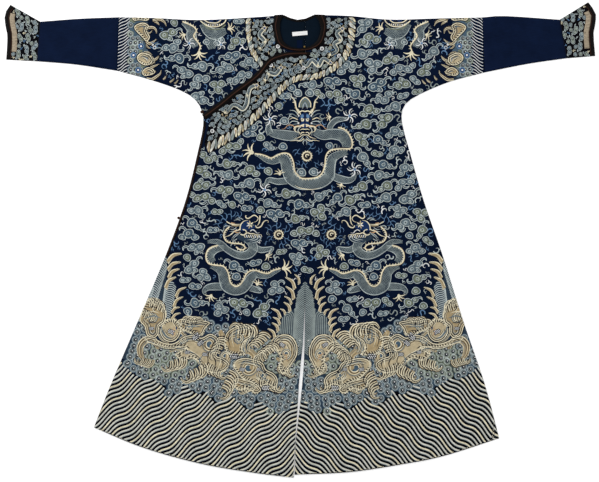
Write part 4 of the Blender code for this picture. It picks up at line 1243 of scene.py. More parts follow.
def mass(forms, stitches, place, colour, outline, reach, veins, bead=2.4):
    """A broad rock: a smooth form with a pale rim, contour lines along its edge and veins in it."""
    curve = smooth(outline, 7, closed=True)
    turning = sum(a.x * b.y - b.x * a.y for a, b in zip(curve, curve[1:] + curve[:1]))
    inwards = 1 if turning > 0 else -1
    forms.shape(colour, laid(place, curve), 0.8)
    for depth, tone, width, share in (
            (-0.9, "ink", 2.6, 1), (1.7, "cream", 2.5, 1), (4.8, "ink", 2.8, 0.78),
            (7.5, "cream", 2.0, 0.66), (10.0, "ink", 2.2, 0.56), (12.6, "steel", 2.2, 0.46),
            (15.2, "cream", 1.8, 0.38), (17.8, "ink", 2.0, 0.34)):
        edge = laid(place, beside(curve, inwards * depth))
        if share == 1:
            stitches.line(tone, edge, width, 0.15, closed=True)
        elif depth < reach:
            stitches.line(tone, edge[: round(len(edge) * share)], width, 0.2, taper="both")
    beads = beside(smooth(outline, 5.2, closed=True), -inwards * 0.6)
    for point in beads[len(beads) // 2 :] if bead else ():
        stitches.dot("cream", *place(*point.xy), bead, 0.3, 6, 0.4)
    comb = smooth(outline, 4.4, closed=True)
    first, last = round(0.58 * len(comb)), round(0.95 * len(comb))
    roots, tips = beside(comb, inwards * 2.8), beside(comb, inwards * 0.66 * reach)
    for k in range(first, last):
        swell = math.sin(math.pi * (k - first) / (last - first))
        tip = roots[k].lerp(tips[k - 1], 0.4 + 0.6 * swell)
        tone, wide = (("ink", 3.0), ("cream", 2.0))[k % 2]
        stitches.line(tone, laid(place, (roots[k], roots[k].lerp(tip, 0.5), tip)), wide, 0.3,
                      taper="end")
    rng = random.Random(len(outline))
    drawn = []
    border = [tuple(point.xy) for point in curve]
    wide, high = zip(*border)
    for _ in range(veins):
        u, y = rng.uniform(min(wide), max(wide)), rng.uniform(min(high), max(high))
        near = min(range(len(curve)), key=lambda k: (wide[k] - u) ** 2 + (high[k] - y) ** 2)
        gap = math.hypot(wide[near] - u, high[near] - y)
        crowded = any(math.hypot(u - other[0], y - other[1]) < 15 for other in drawn)
        crowded = crowded or any(math.hypot(u - r.u, y - r.y) < r.size + 6 for r in ROCKS if r.kind != "foam")
        if crowded or gap < (22 if near < 0.6 * len(curve) else 8) or not inside(u, y, border):
            continue
        drawn.append((u, y))
        along = (curve[(near + 1) % len(curve)] - curve[near - 1]).to_2d().normalized()
        across = Vector((-along.y, along.x)) * rng.choice((-1, 1))
        long, bend = rng.uniform(8, 15), rng.uniform(2, 6)
        for step, tone, thick in ((0, "ink", 2.2), (2.3, "cream", 2.2)):
            middle = Vector((u, y)) + across * step
            vein = [middle - along * long, middle - along * long * 0.4 + across * bend,
                    middle + along * long * 0.5 + across * bend, middle + along * long]
            if all(inside(*point, border) for point in vein):
                stitches.line(tone, laid(place, vein), thick, 0.25, taper="both")


def band(forms, stitches, place, path):
    """A rolled crest of surf, with lines that run along it."""
    line = smooth(path, 6)
    forms.line("tan", laid(place, line), [p.z for p in line], 0.95, kind="padding")
    for share, tone, width in ((0.47, "cream", 2.6), (0.29, "ink", 2.3), (0.12, "cream", 1.8),
                               (-0.06, "ink", 2.0), (-0.24, "steel", 2.2), (-0.47, "cream", 2.0)):
        edge = beside(line, lambda wide, share=share: share * wide)
        stitches.line(tone, laid(place, edge), width, 0.15, taper="both")


def rock(forms, stitches, item, place):
    """One small form of the rocks and surf along the skirt."""
    size = item.size * 1.26
    turned = placed(item.u, item.y, item.angle, size / 30, flip=item.hand < 0)

    def spot(u, v):
        return place(*turned(u, v))

    if item.kind == "curl":
        path = [(13, -44), (22, -34), (26, -22)] + spiral(0, 0, 22, -20, 1.25, 7, 22)
        count = len(path)
        widths = [size / 30 * (17 - 9 * k / (count - 1)) * (0.5 if k == 0 else 1) for k in range(count)]
        forms.dot("deep", *spot(0, 0), size * 0.72, 0.9, 14, 0.4)
        forms.line("tan", laid(spot, path), widths, 1.1, kind="padding")
        points = [Vector((*p, 0)) for p in path]
        for index, (share, colour, width) in enumerate(
                ((7.4, "cream", 2.8), (3.0, "ink", 1.8), (-1.0, "cream", 1.7), (-5.0, "steel", 2.4))):
            edge = []
            for k, point in enumerate(beside(points, share)):
                part = 1 - 0.5 * k / (count - 1)
                edge.append(spot(*(points[k].lerp(point, part)).xy))
            stitches.line(colour, edge[: count - 2 * index], width, 0.15, taper="both")
    elif item.kind == "foam":
        for k in range(4):
            path = smooth(((-25 + 13 * k, -18 + 2 * k), (-26 + 13 * k, -4 + 2 * k), (-19 + 13 * k, 9 + k),
                           (-7 + 13 * k, 12), (1 + 13 * k, 5 - k), (0 + 13 * k, -2)), 6)
            finger(forms, stitches, laid(spot, path), 13.0 * size / 30, ("tan", "sand")[k % 2])
    else:
        for k in range(12):
            row, column = divmod(k, 4)
            u, v = (column - 1.5) * 9 + (row % 2) * 4.5, (row - 1) * 8
            stitches.dot("ink", *spot(u, v), 0.24 * size, 0.6, 8, 0.1)
            stitches.dot("white", *spot(u, v), 0.11 * size, 0.75, 6, 0.3)


def clear_runs(line, outline, rolls):
    """The lengths of a line that lie inside an outline and off the rocks."""
    runs = [[]]
    for u, y in line:
        hidden = any(inside(u, y, rocky) for _, rocky in MASSES)
        hidden = hidden or any((p.x - u) ** 2 + (p.y - y) ** 2 < p.z * p.z / 4 for p in rolls)
        if hidden or not inside(u + 0.1, y, outline):
            runs.append([])
        else:
            runs[-1].append((u, y))
    return [run for run in runs if len(run) > 1]


def stem(forms, stitches, place, outline, line, chevrons, stacks, nests):
    """A wave peak: dark floss with chevrons from the middle, and arches stacked or in one another."""
    forms.shape("slate", laid(place, outline), 0.2)
    rolls = [point for path in BANDS for point in smooth(path, 6)]
    lines = []
    for row in range(chevrons):
        top = outline[0][1] - 2 - 6.3 * row
        lines.append(((0, top), (9, top - 6), (19, top - 15), (28, top - 28), (31, top - 38)))
    for centre, half, top, low, lean in stacks:
        for row in range(int((top - low) / 6.2)):
            y = top - 6.2 * row
            middle = centre + lean * (top - y)
            turns = [math.radians(14 * k) for k in range(-6, 7)]
            lines.append([(middle + half * math.sin(t), y - 1.15 * half * (1 - math.cos(t))) for t in turns])
    for centre, half, top, low, lean in nests:
        for row in range(0, math.ceil(half / 2.9), 2):
            wide = half - 2.9 * row
            points = [(centre - wide + lean * (top - low), low)]
            for y in (low / 2 + (top - half) / 2, top - half):
                points.append((centre - wide + lean * (top - half - y), y))
            for k in range(9):
                turn = math.pi * (1 - k / 8)
                points.append((centre + wide * math.cos(turn), top - half + wide * math.sin(turn)))
            points += [(2 * centre - u + 2 * lean * (top - half - y), y) for u, y in points[1::-1]]
            lines.append(points)
    for points in lines:
        for run in clear_runs([tuple(p.xy) for p in smooth(points, 4.5)], outline, rolls):
            stitches.line(line, laid(place, run), 3.1 if chevrons else 2.4, 0.1)


def bubble(forms, stitches, x, y, lift, ground, size=1.0):
    """One bubble: a disc with thin pale rings round a dark spot with a white dot."""
    forms.dot(ground, x, y, 13.2 * size, lift, 12, 0.5)
    inner = "slate" if ground == "deep" else ground
    for radius, colour, rise in (
            (10.4, "outline", 0.08), (8.8, inner, 0.17), (6.8, "scale", 0.25), (5.2, "ink", 0.33)):
        stitches.dot(colour, x, y, radius * size, rise, 11, 0.08)
    stitches.dot("white", x + 0.8, y + 0.8, 2.0 * size, 0.5, 6, 0.2)


def bubbles(forms, stitches, side, place, taken):
    """The field of bubbles under and between the rocks, row on row."""
    rng = random.Random(7 if side == "left" else 8)
    for row in range(20):
        for column in range(-2, 33):
            u = 8 + 21.8 * column + 4.3 * (row % 5) + rng.uniform(-1.5, 1.5)
            y = -200 - 17.6 * row - 7.3 * (column % 3) + rng.uniform(-1.5, 1.5)
            if u < 4 or not height_on(BUBBLE_LOW, u) + 5 < y < height_on(ROCK_TOP, u) - 4:
                continue
            if any(inside(u, y, outline) for _, outline in MASSES):
                continue
            x, real_y = place(u, y)
            if taken.free(x, real_y, 2, edge=0.0):
                ground = "olive" if math.sin(u / 52) + math.sin(y / 33) > 0.9 else "deep"
                bubble(forms, stitches, x, real_y, 0.3 + 0.12 * (row % 3), ground)


def hem_stripes(work, place):
    """The slanting waves along the hem, each a light ridge with a grey lower edge."""
    for number in range(-4, 62):
        runs, run = [], []
        for step in range(84):
            u = 660 - 8.0 * step
            y = -200 - 15.6 * number + 0.80 * (300 - u) + 7.0 * math.sin(2 * math.pi * u / 82 + 0.33 * number)
            if -760 < y < height_on(BUBBLE_LOW, u) + 10:
                run.append((u, y))
            elif run:
                runs.append(run)
                run = []
        for run in runs + [run]:
            if len(run) > 1:
                colour = "cream" if number % 7 in (2, 5) else "stripe"
                work.line(colour, laid(place, run), 4.8, 0.2, kind="stripe")
                work.line("steel", [place(u, y - 3.3) for u, y in run], 1.9, 0.15)


def ordered_rim(node):
    """The cut edge of a node's upper face as loops of places, in millimetres."""
    surface = cloth_of(node)
    surface.normal_update()
    upper = {face for face in surface.faces if face.normal.z > 0.5}
    edges = [e for e in surface.edges if sum(face in upper for face in e.link_faces) == 1]
    links = {}
    for edge in edges:
        a, b = edge.verts
        links.setdefault(a, []).append(b)
        links.setdefault(b, []).append(a)
    loops = []
    left = set(links)
    while left:
        start = min(left, key=lambda vert: vert.index)
        loop, vert = [start], start
        left.discard(start)
        while True:
            following = [other for other in links[vert] if other in left]
            if not following:
                break
            vert = following[0]
            left.discard(vert)
            loop.append(vert)
        loops.append([(v.co.x / MM, v.co.y / MM) for v in loop])
    surface.free()
    return loops


# ---------------------------------------------------------------- settings

def colour_setting(name, code, text):
    """A colour setting whose default is an sRGB hex code."""
    return FloatVectorProperty(name=name, description=text, default=linear(code), size=3,
                               subtype="COLOR", min=0.0, max=1.0)


class RobeCloth(bpy.types.PropertyGroup):
    """Sizes and colours of the robe's cloth and bindings."""

    weave: FloatProperty(name="Weave", description="Distance between the drawn threads of the silk",
                         default=0.0014, unit="LENGTH", min=0.0003, max=0.01)
    cell: FloatProperty(name="Cloth cell", description="Longest edge in the cloth's mesh",
                        default=0.018, unit="LENGTH", min=0.006, max=0.05)
    easing: IntProperty(name="Easing", description="Passes that ease the facets out of the cloth",
                        default=10, min=0, max=40)
    binding_crown: FloatProperty(name="Binding crown", description="Rise of a padded binding, mm",
                                 default=0.7, min=0.0, max=3.0)
    navy: colour_setting("Navy", "#061228", "The embroidered silk's ground")
    midnight: colour_setting("Midnight", "#0B1730", "The plain silk of the sleeve extensions")
    lining: colour_setting("Lining", "#09141F", "The silk lining inside the neck")
    black: colour_setting("Black", "#08080C", "The collar band's and the cuffs' silk")
    binding: colour_setting("Binding", "#0E0B0A", "The satin of the bindings")
    brown: colour_setting("Brown", "#35211A", "The piping on the bindings")
    brocade: colour_setting("Brocade", "#181512", "The edging's woven ground")
    strip: colour_setting("Strip", "#8E8270", "The cuffs' narrow strips")
    label: colour_setting("Label", "#F2F2EE", "The bare label")
    brass: colour_setting("Brass", "#A98A4E", "The neck's ball button")


class RobeThreads(bpy.types.PropertyGroup):
    """Colours of the silk floss."""

    outline: colour_setting("Outline", "#BCC7C6", "Pale outlines of the clouds and waves")
    steel: colour_setting("Steel", "#6A7A82", "Blue-grey fillings")
    deep: colour_setting("Deep", "#495E6E", "Dark blue-grey grounds of scales and bubbles")
    slate: colour_setting("Slate", "#293949", "The dark ground under the dragons' scales")
    olive: colour_setting("Olive", "#747C6A", "Olive-grey fillings")
    scale: colour_setting("Scale", "#8F9A98", "Scales")
    sky: colour_setting("Sky", "#6487AC", "Blue curls and flames")
    white: colour_setting("White", "#ECEFEE", "White accents")
    cream: colour_setting("Cream", "#EDE4C6", "Claws, backs and crests")
    tan: colour_setting("Tan", "#AF9B76", "Rocks and surf")
    sand: colour_setting("Sand", "#C0B190", "Warm stripes and rocks")
    stripe: colour_setting("Stripe", "#D9D8CC", "Stripes along the hem")
    ink: colour_setting("Ink", "#080C1C", "Dark contour lines")
    indigo: colour_setting("Indigo", "#15305C", "Dark blue fillings")
    brown: colour_setting("Brown", "#3C251C", "Brown cords and piping")
    blush: colour_setting("Blush", "#CFA47C", "Warm accents on the dragons' faces")


class RobeStage(bpy.types.PropertyGroup):
    """The camera, the floor and the light."""

    lens: FloatProperty(name="Lens", description="The camera's focal length", default=100.0,
                        unit="CAMERA", min=20, max=300)
    width: FloatProperty(name="View width", description="Width that the camera sees on the robe",
                         default=1.815, unit="LENGTH", min=0.5, max=5)
    power: FloatProperty(name="Key light", description="Power of the large light", default=105.0,
                         min=0, max=2000)
    world: FloatProperty(name="World light", description="Strength of the even light", default=0.52,
                         min=0, max=3)
    floor: colour_setting("Floor", "#F6F6F6", "The pale floor")


SHEETS = {  # width and length as cut, flat area, in metres; what it lies on
    "left_half": (0.66, 2.82, 1.23, ()), "right_half": (0.66, 2.82, 1.20, ()),
    "front_overlap": (0.64, 1.30, 0.516, ("right_half_cloth",)),
    "left_sleeve_extension": (0.335, 0.256, 0.0705, ()),
    "right_sleeve_extension": (0.335, 0.249, 0.0684, ()),
    "left_cuff": (0.34, 0.100, 0.0233, ()), "right_cuff": (0.34, 0.100, 0.0242, ()),
    "collar_band_left": (0.50, 0.17, 0.0370, ("left_half_cloth", "front_overlap_cloth")),
    "collar_band_right": (0.14, 0.10, 0.0087, ("right_half_cloth",)),
    "collar_edging_left": (0.64, 0.034, 0.0162, ("left_half_cloth", "front_overlap_cloth")),
    "collar_edging_right": (0.166, 0.021, 0.0033, ("right_half_cloth",)),
    "left_cuff_strip": (0.120, 0.016, 0.0018, ("left_cuff_cloth",)),
    "right_cuff_strip": (0.122, 0.016, 0.0019, ("right_cuff_cloth",)),
}
SHARED = {}  # the grounds and the room that later steps need


def declare_sheet(node):
    """Reads how the piece's cloth was cut and what it lies on from its table; it keeps none of it."""
    wide, long, area, rests = SHEETS[node]
    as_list(rests)


# ---------------------------------------------------------------- operators

class ROBE_OT_stage(bpy.types.Operator):
    """Sets up the camera, the pale floor and the soft light"""

    bl_idname = "robe.stage"
    bl_label = "Camera, floor and light"

    def execute(self, context):
        stage = context.scene.robe_stage
        camera_data = bpy.data.cameras.new("Camera")
        camera_data.lens = stage.lens
        camera_data.sensor_width = SENSOR
        camera_data.clip_end = 30.0
        camera = bpy.data.objects.new("Camera", camera_data)
        camera.location = (-0.0021, -0.0030, 0.004 + stage.width * stage.lens / SENSOR)
        context.scene.collection.objects.link(camera)
        context.scene.camera = camera

        surface = bmesh.new()
        bmesh.ops.create_grid(surface, x_segments=4, y_segments=4, size=6.0)
        bmesh.ops.translate(surface, verts=surface.verts, vec=(0, 0, -0.0003))
        mesh = bpy.data.meshes.new("floor")
        surface.to_mesh(mesh)
        surface.free()
        floor = bpy.data.objects.new("floor", mesh)
        context.scene.collection.objects.link(floor)
        material, _, shader = new_material("Matt studio floor", 0.9, 0.1)
        shader.inputs["Base Color"].default_value = (*stage.floor, 1)
        # Painted light: the floor glows faintly, so that it stays white where the robe shades it, as in the
        # vent's narrow gap.
        shader.inputs["Emission Color"].default_value = (1, 1, 1, 1)
        shader.inputs["Emission Strength"].default_value = 0.43
        mesh.materials.append(material)

        for place, size, power in (
                ((-2.6, 2.2, 3.0), 2.4, stage.power), ((2.6, 1.2, 4.0), 3.0, 0.45 * stage.power)):
            light_data = bpy.data.lights.new("Softbox", "AREA")
            light_data.size = size
            light_data.energy = power
            light = bpy.data.objects.new("Softbox", light_data)
            light.location = place
            light.rotation_euler = Vector(place).to_track_quat("Z", "Y").to_euler()
            context.scene.collection.objects.link(light)
        world = bpy.data.worlds.new("Studio")
        world.use_nodes = True
        background = world.node_tree.nodes["Background"]
        background.inputs["Color"].default_value = (1, 1, 1, 1)
        background.inputs["Strength"].default_value = stage.world
        context.scene.world = world
        context.scene.view_settings.view_transform = "Standard"
        return {"FINISHED"}


class ROBE_OT_cloth(bpy.types.Operator):
    """Lays the halves, the overlap, the sleeve extensions and the cuffs, with their soft creases"""

    bl_idname = "robe.cloth"
    bl_label = "Cloth"

    def execute(self, context):
        cloth = context.scene.robe_cloth
        navy = woven("Navy silk satin", cloth.navy, cloth.weave, hem=True)
        midnight = woven("Midnight silk satin", cloth.midnight, cloth.weave, patch=0.05)
        black = woven("Black silk satin", cloth.black, cloth.weave)
        lining = woven("Plain silk lining", cloth.lining, cloth.weave, roughness=0.7)
        outer = {**dict.fromkeys(PANELS, navy), **dict.fromkeys(EXTENSIONS, midnight),
                 **dict.fromkeys(CUFFS, black)}
        slots = {**dict.fromkeys(PANELS, "navy_silk"), **dict.fromkeys(EXTENSIONS, "midnight_silk"),
                 **dict.fromkeys(CUFFS, "black_silk")}
        for node in PANELS + EXTENSIONS + CUFFS:
            surface = cloth_of(node)
            for vert in surface.verts:
                off = vert.co.x - middle_at(vert.co.y / MM)[0] * MM
                if abs(off) < 0.0006 and vert.co.y > VENT_TOP:
                    vert.co.x -= off * 0.9
            refine(surface, cloth.cell if node in PANELS else 0.7 * cloth.cell)
            lay_cloth(surface, cloth.easing)
            surface.normal_update()
            for face in surface.faces:
                height = face.calc_center_median().z
                back_top = face.normal.z > 0.5 and height < CLOTH_TOP
                front_under = face.normal.z < -0.5 and height > CLOTH_TOP
                face.material_index = 1 if back_top or front_under else 0
            piece = finish_piece(node + "_cloth", surface, [outer[node], lining], slots[node], [node])
            declare_sheet(node)
        return {"FINISHED"}


def cloth_pieces(nodes):
    """The finished cloth pieces of the nodes."""
    return [bpy.data.objects[node + "_cloth"] for node in nodes]


class ROBE_OT_trimmings(bpy.types.Operator):
    """Makes the padded bindings with their piping, the collar bands, edgings and cuff strips"""

    bl_idname = "robe.trimmings"
    bl_label = "Bindings, bands and edgings"

    def execute(self, context):
        cloth = context.scene.robe_cloth
        satin = woven("Dark binding satin", cloth.binding, 0.0012, roughness=0.45, specular=0.05)
        black = woven("Black collar silk", cloth.black, 0.0012)
        brocade = woven("Grey and gold brocade", cloth.brocade, 0.0018, depth=0.3, patch=0.02)
        strip = woven("Pinkish beige brocade", cloth.strip, 0.0018, shade_of(cloth.strip, 1.5)[:3],
                      depth=0.3, patch=0.005)
        throat, shoulders = (0, 576), ((-64.5, 682), (58, 682))
        padded = (
            ("neck_binding_left", 10, (throat, shoulders[1])),
            ("neck_binding_right", 10, (throat, shoulders[0])),
            ("back_neck_binding", 3.5, ()), ("overlap_binding", 9, ()), ("side_binding", 3.5, ()),
            ("left_cuff_binding", 7, ()), ("right_cuff_binding", 7, ()),
        )
        for node, half, open_ends in padded:
            surface = cloth_of(node)
            refine(surface, 0.006)
            crown = cloth.binding_crown * min(1.0, half / 7)
            pad(surface, crown, half, 0.35, open_ends)
            piece = finish_piece(node + "_cover", surface, [satin], "brown_silk", [node])
        bands = (("collar_band_left", black, "black_silk"), ("collar_band_right", black, "black_silk"),
                 ("collar_edging_left", brocade, "cream_brocade"),
                 ("collar_edging_right", brocade, "cream_brocade"),
                 ("left_cuff_strip", strip, "cream_brocade"),
                 ("right_cuff_strip", strip, "cream_brocade"))
        for node, material, slot in bands:
            surface = cloth_of(node)
            refine(surface, 0.008)
            pad(surface, 0.25 if "edging" in node else 0.1, 5, 0.2)
            piece = finish_piece(node + "_cloth", surface, [material], slot, [node])
            declare_sheet(node)

        covers = [bpy.data.objects[node + "_cover"] for node, _, _ in padded]
        edgings = [bpy.data.objects[node + "_cloth"] for node, _, _ in bands[2:]]
        collar = [bpy.data.objects[node + "_cloth"] for node, _, _ in bands[:2]]
        fields = cloth_pieces(PANELS)
        SHARED["field"] = Ground(fields, covers + edgings + collar)
        SHARED["collar"] = Ground(collar, covers + edgings)
        SHARED["edging"] = Ground(edgings, covers)
        SHARED["cuff"] = Ground(cloth_pieces(CUFFS), covers + edgings[2:])

        piping = Needlework("piping")
        piping.line("brown", smooth(DIAGONAL, 5)[2:-1], 3.4, 0.0, kind="cord")
        for rows in (NECK_LEFT, NECK_RIGHT):
            share = -0.12 if rows is NECK_RIGHT else 0.12
            edge = beside(smooth(rows, 5), lambda width, share=share: share * width)
            piping.line("brown", edge, 2.6, 0.0, kind="cord")
        piping.line("brown", beside(smooth(SIDE_SEAM_RIGHT, 6), 4.0), 1.6, 0.0, kind="cord")
        piping.lay(Ground(fields + covers), "brown_silk")
        return {"FINISHED"}


class ROBE_OT_fastenings(bpy.types.Operator):
    """Finishes the ball buttons, their loops, the neck's tab and the bare label"""

    bl_idname = "robe.fastenings"
    bl_label = "Fastenings and label"

    def execute(self, context):
        cloth = context.scene.robe_cloth
        cord = thread("brown")
        for node in ("arm_button", "side_button"):
            low, high = (Vector(corner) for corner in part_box(node))
            centre, radius = (low + high) / 2, (high.x - low.x) / 2
            surface = bmesh.new()
            bmesh.ops.create_icosphere(surface, subdivisions=3, radius=radius * 0.86)
            for vert in surface.verts:  # the strands of a knotted ball
                turn = 3 * math.atan2(vert.co.y, vert.co.x)
                rise = math.sin(turn + 5 * vert.co.z / radius)
                vert.co *= 1.06 + 0.09 * rise
            bmesh.ops.translate(surface, verts=surface.verts, vec=centre)
            finish_piece(node + "_knot", surface, [cord], "brown_silk", [node])
        for node, lean in (("arm_loop", 38), ("side_loop", 68)):
            low, high = (Vector(corner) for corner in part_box(node))
            centre = (low + high) / 2 / MM
            loop = Needlework(node + "_cord")
            reach = (high.x - low.x) / 2 / MM - 1.5
            loop.line("brown", ring(centre.x, centre.y, reach, 22), 3.0, 0.0, closed=True, kind="cord")
            turn = math.radians(lean + 180)
            for side in (-1.7, 1.7):
                points = []
                for step in range(7):
                    along = reach * 0.9 + 3.4 * step
                    points.append((centre.x + along * math.cos(turn) - side * math.sin(turn),
                                   centre.y + along * math.sin(turn) + side * math.cos(turn)))
                loop.line("brown", points, 2.8, 0.0, kind="cord", taper="end")
            covers = [bpy.data.objects[name + "_binding_cover"] for name in ("overlap", "side")]
            piece = loop.lay(Ground(cloth_pieces(PANELS) + covers), "brown_silk")
            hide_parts(node)
        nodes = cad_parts
        finishes = {"neck_button": cast_brass("Cast brass", cloth.brass),
                    "neck_tab": woven("Navy tab silk", cloth.navy, 0.0012),
                    "neck_label": woven("Bare white label tape", cloth.label, 0.0009, roughness=0.8)}
        for node, material in finishes.items():
            for slot in nodes[node].material_slots:
                slot.material = material
        return {"FINISHED"}


class ROBE_OT_skirt(bpy.types.Operator):
    """Works the hem's stripes, the bubbles, the rocks and surf, and the wave peaks"""

    bl_idname = "robe.skirt"
    bl_label = "Skirt"

    def execute(self, context):
        ground = SHARED["field"]
        room = SHARED["room"] = Room(ground)
        rocky = Room(ground)
        places = {side: from_middle(side) for side in SIDES}
        for side, place in places.items():
            stripes = Needlework("hem_stripes_" + side)
            hem_stripes(stripes, place)
            stripes.lay(ground, "cream_brocade", side)
            for item in ROCKS:
                if item.kind != "checks":
                    rocky.take(*place(item.u, item.y), 0.5 * item.size)
        bed = [(u, y - 14) for u, y in ROCK_TOP] + [(u, y + 15) for u, y in BUBBLE_LOW[::-1]]
        discs, rings = [], {}
        for side, place in places.items():
            forms = Needlework("bubble_discs_" + side)
            rings[side] = Needlework("bubble_rings_" + side)
            forms.shape("slate", laid(place, bed), 0.15)
            bubbles(forms, rings[side], side, place, rocky)
            discs.append(forms.lay(ground, "navy_silk", side))
        for piece in discs:
            ground.add(piece)
        for side, work in rings.items():
            work.lay(ground, "navy_silk", side)

        rocks, works = [], {}
        for side, place in places.items():
            forms = Needlework("rock_forms_" + side)
            works[side] = stitches = Needlework("rock_stitches_" + side)
            peaks = ((52, 20, -214, -335, 0.02), (81, 9, -262, -335, 0.02))
            stem(forms, stitches, place, PEAK, "scale", 34, (), peaks)
            arches = ((406, 19, -128, -250, 0.14), (436, 22, -50, -250, 0.3), (478, 20, -130, -250, 0.3))
            stem(forms, stitches, place, FLANK, "outline", 0, arches, ())
            for colour, outline in MASSES:
                mass(forms, stitches, place, colour, outline, 18, 60)
            for path in BANDS:
                band(forms, stitches, place, path)
            for colour, width, points in CONTOURS:
                strokes(stitches, place, colour, width, [points], 0.4, taper="both")
            for item in ROCKS:
                rock(forms, stitches, item, place)
            for item in STEM_CLAWS:
                toothed_claw(stitches, item, place)
            rocks.append(forms.lay(ground, "cream_brocade", side))
            for u, y in ROCK_TOP:
                room.take(*place(u, y), 14)
            for u, y, tip_u, tip_y, width in STEM_CLAWS:
                for part in (0, 0.5, 1):
                    room.take(*place(u + (tip_u - u) * part, y + (tip_y - y) * part), width * 0.7)
            for u, y in PEAK + FLANK:
                room.take(*place(u, y), 8)
        for piece in rocks:
            ground.add(piece)
        for side, work in works.items():
            work.lay(ground, "cream_brocade", side)
        return {"FINISHED"}


class ROBE_OT_dragons(bpy.types.Operator):
    """Works the front-facing dragon, the two profile dragons and the shoulder dragons"""

    bl_idname = "robe.dragons"
    bl_label = "Dragons"

    def execute(self, context):
        ground, room = SHARED["field"], SHARED["room"]
        plain = placed(0, 0)
        forms, stitches = Needlework("chest_dragon_forms"), Needlework("chest_dragon_stitches")
        scaled_lengths(forms, stitches, room, CHEST_SPINES, 5)
        scaled_lengths(forms, stitches, room, CHEST_LEGS, 4)
        back_line(stitches, CHEST_BACK, 1)
        belly = ((-16, 165), (2, 157), (36, 153), (64, 159))
        strokes(stitches, plain, "cream", 2.6, [belly], 0.5, taper="both")
        strokes(stitches, plain, "outline", 2.2, [((110, 245), (104, 223), (103, 194))], 0.5)
        for x, y, turn in CHEST_STARS:
            star_claw(stitches, x, y, 0.95, turn)
            room.take(x, y, 24)
        for x, y, turn, size in CHEST_CLAWS:
            claw(stitches, x, y, turn, size)
            room.take(x, y, 26 * size)
        front_head(stitches, placed(14.5, 364))
        for x, y, radius in ((-7, 445, 12.5), (29, 445, 12.5), (4, 205, 13.5), (41, 206, 13.5)):
            cloud(stitches, placed(x, y), Cloud(((0, 0, radius),), ()), "steel")
        pearl(stitches, 20.5, 254, 13.5)
        for x, y, turn, size in CHEST_FLAMES:
            fork(stitches, placed(x, y, turn), size)
        for spot in CHEST_ROOM:
            room.take(*spot)
        strokes(stitches, plain, "sky", 2.2, CHEST_CURLS, 0.2)
        bodies = [forms.lay(ground, "navy_silk")]
        works = [stitches]

        for side in SIDES:
            place = from_middle(side)
            flip = side == "right"

            def across(line):
                return [(*place(*point[:2]), *point[2:]) for point in line]

            def claws(rows, radius):
                for u, v, turn, size in rows:
                    claw(stitches, *place(u, v), turn if flip else 180 - turn, size)
                    room.take(*place(u, v), radius * size)

            forms = Needlework("skirt_dragon_forms_" + side)
            stitches = Needlework("skirt_dragon_stitches_" + side)
            scaled_lengths(forms, stitches, room, map(across, SKIRT_SPINES), 5)
            scaled_lengths(forms, stitches, room, map(across, SKIRT_LEGS), 4)
            for line in SKIRT_BACK:
                back_line(stitches, across(line), 1 if flip else -1)
            side_head(stitches, place)
            claws(SKIRT_CLAWS, 24)
            pearl(stitches, *place(80, 16), 12.5)
            for u, v, turn, size in SKIRT_FLAMES:
                fork(stitches, placed(*place(u, v), turn, flip=not flip), size)
                room.take(*place(u, v), 12 * size)
            for u, v, radius in SKIRT_ROOM:
                room.take(*place(u, v), radius)
            bodies.append(forms.lay(ground, "navy_silk"))
            works.append(stitches)

            forms = Needlework("shoulder_dragon_forms_" + side)
            stitches = Needlework("shoulder_dragon_stitches_" + side)
            scaled_lengths(forms, stitches, room, map(across, SHOULDER_SPINES), 4)
            back_line(stitches, across(SHOULDER_BACK), 1 if flip else -1)
            claws(SHOULDER_CLAWS, 22)
            strokes(stitches, place, "cream", 3.2, SHOULDER_JAWS, 1.0, taper="")
            lip = ((312, 658), (296, 642), (278, 638), (258, 640), (242, 652))
            strokes(stitches, place, "olive", 3.6, [lip], 0.8, taper="")
            for k in range(9):  # the teeth
                spot = place(306 - 6.5 * k, 654 - 3 * math.sin(k * 0.4))
                stitches.dot("cream" if k % 2 else "white", *spot, 2.2, 1.0, 7)
            for u, v, radius in ((286, 664, 6.5), (262, 665, 5.5)):
                stitches.dot("indigo", *place(u, v), radius, 0.8, 10)
            for u, v in ((300, 600), (268, 596), (254, 606)):
                cloud(stitches, placed(*place(u, v)), Cloud(((0, 0, 9.5),), ()), "steel")
                room.take(*place(u, v), 11)
            star_claw(stitches, *place(255, 592), 0.7, 30)
            star_claw(stitches, *place(352, 596), 0.8, 60)
            for u, v, radius in ((255, 592, 18), (352, 596, 20), (278, 655, 34)):
                room.take(*place(u, v), radius)
            strokes(stitches, place, "sky", 2.2, SHOULDER_CURLS, 0.2)
            bodies.append(forms.lay(ground, "navy_silk"))
            works.append(stitches)
        for piece in bodies:
            ground.add(piece)
        for work in works:
            work.lay(ground, "navy_silk")
        return {"FINISHED"}


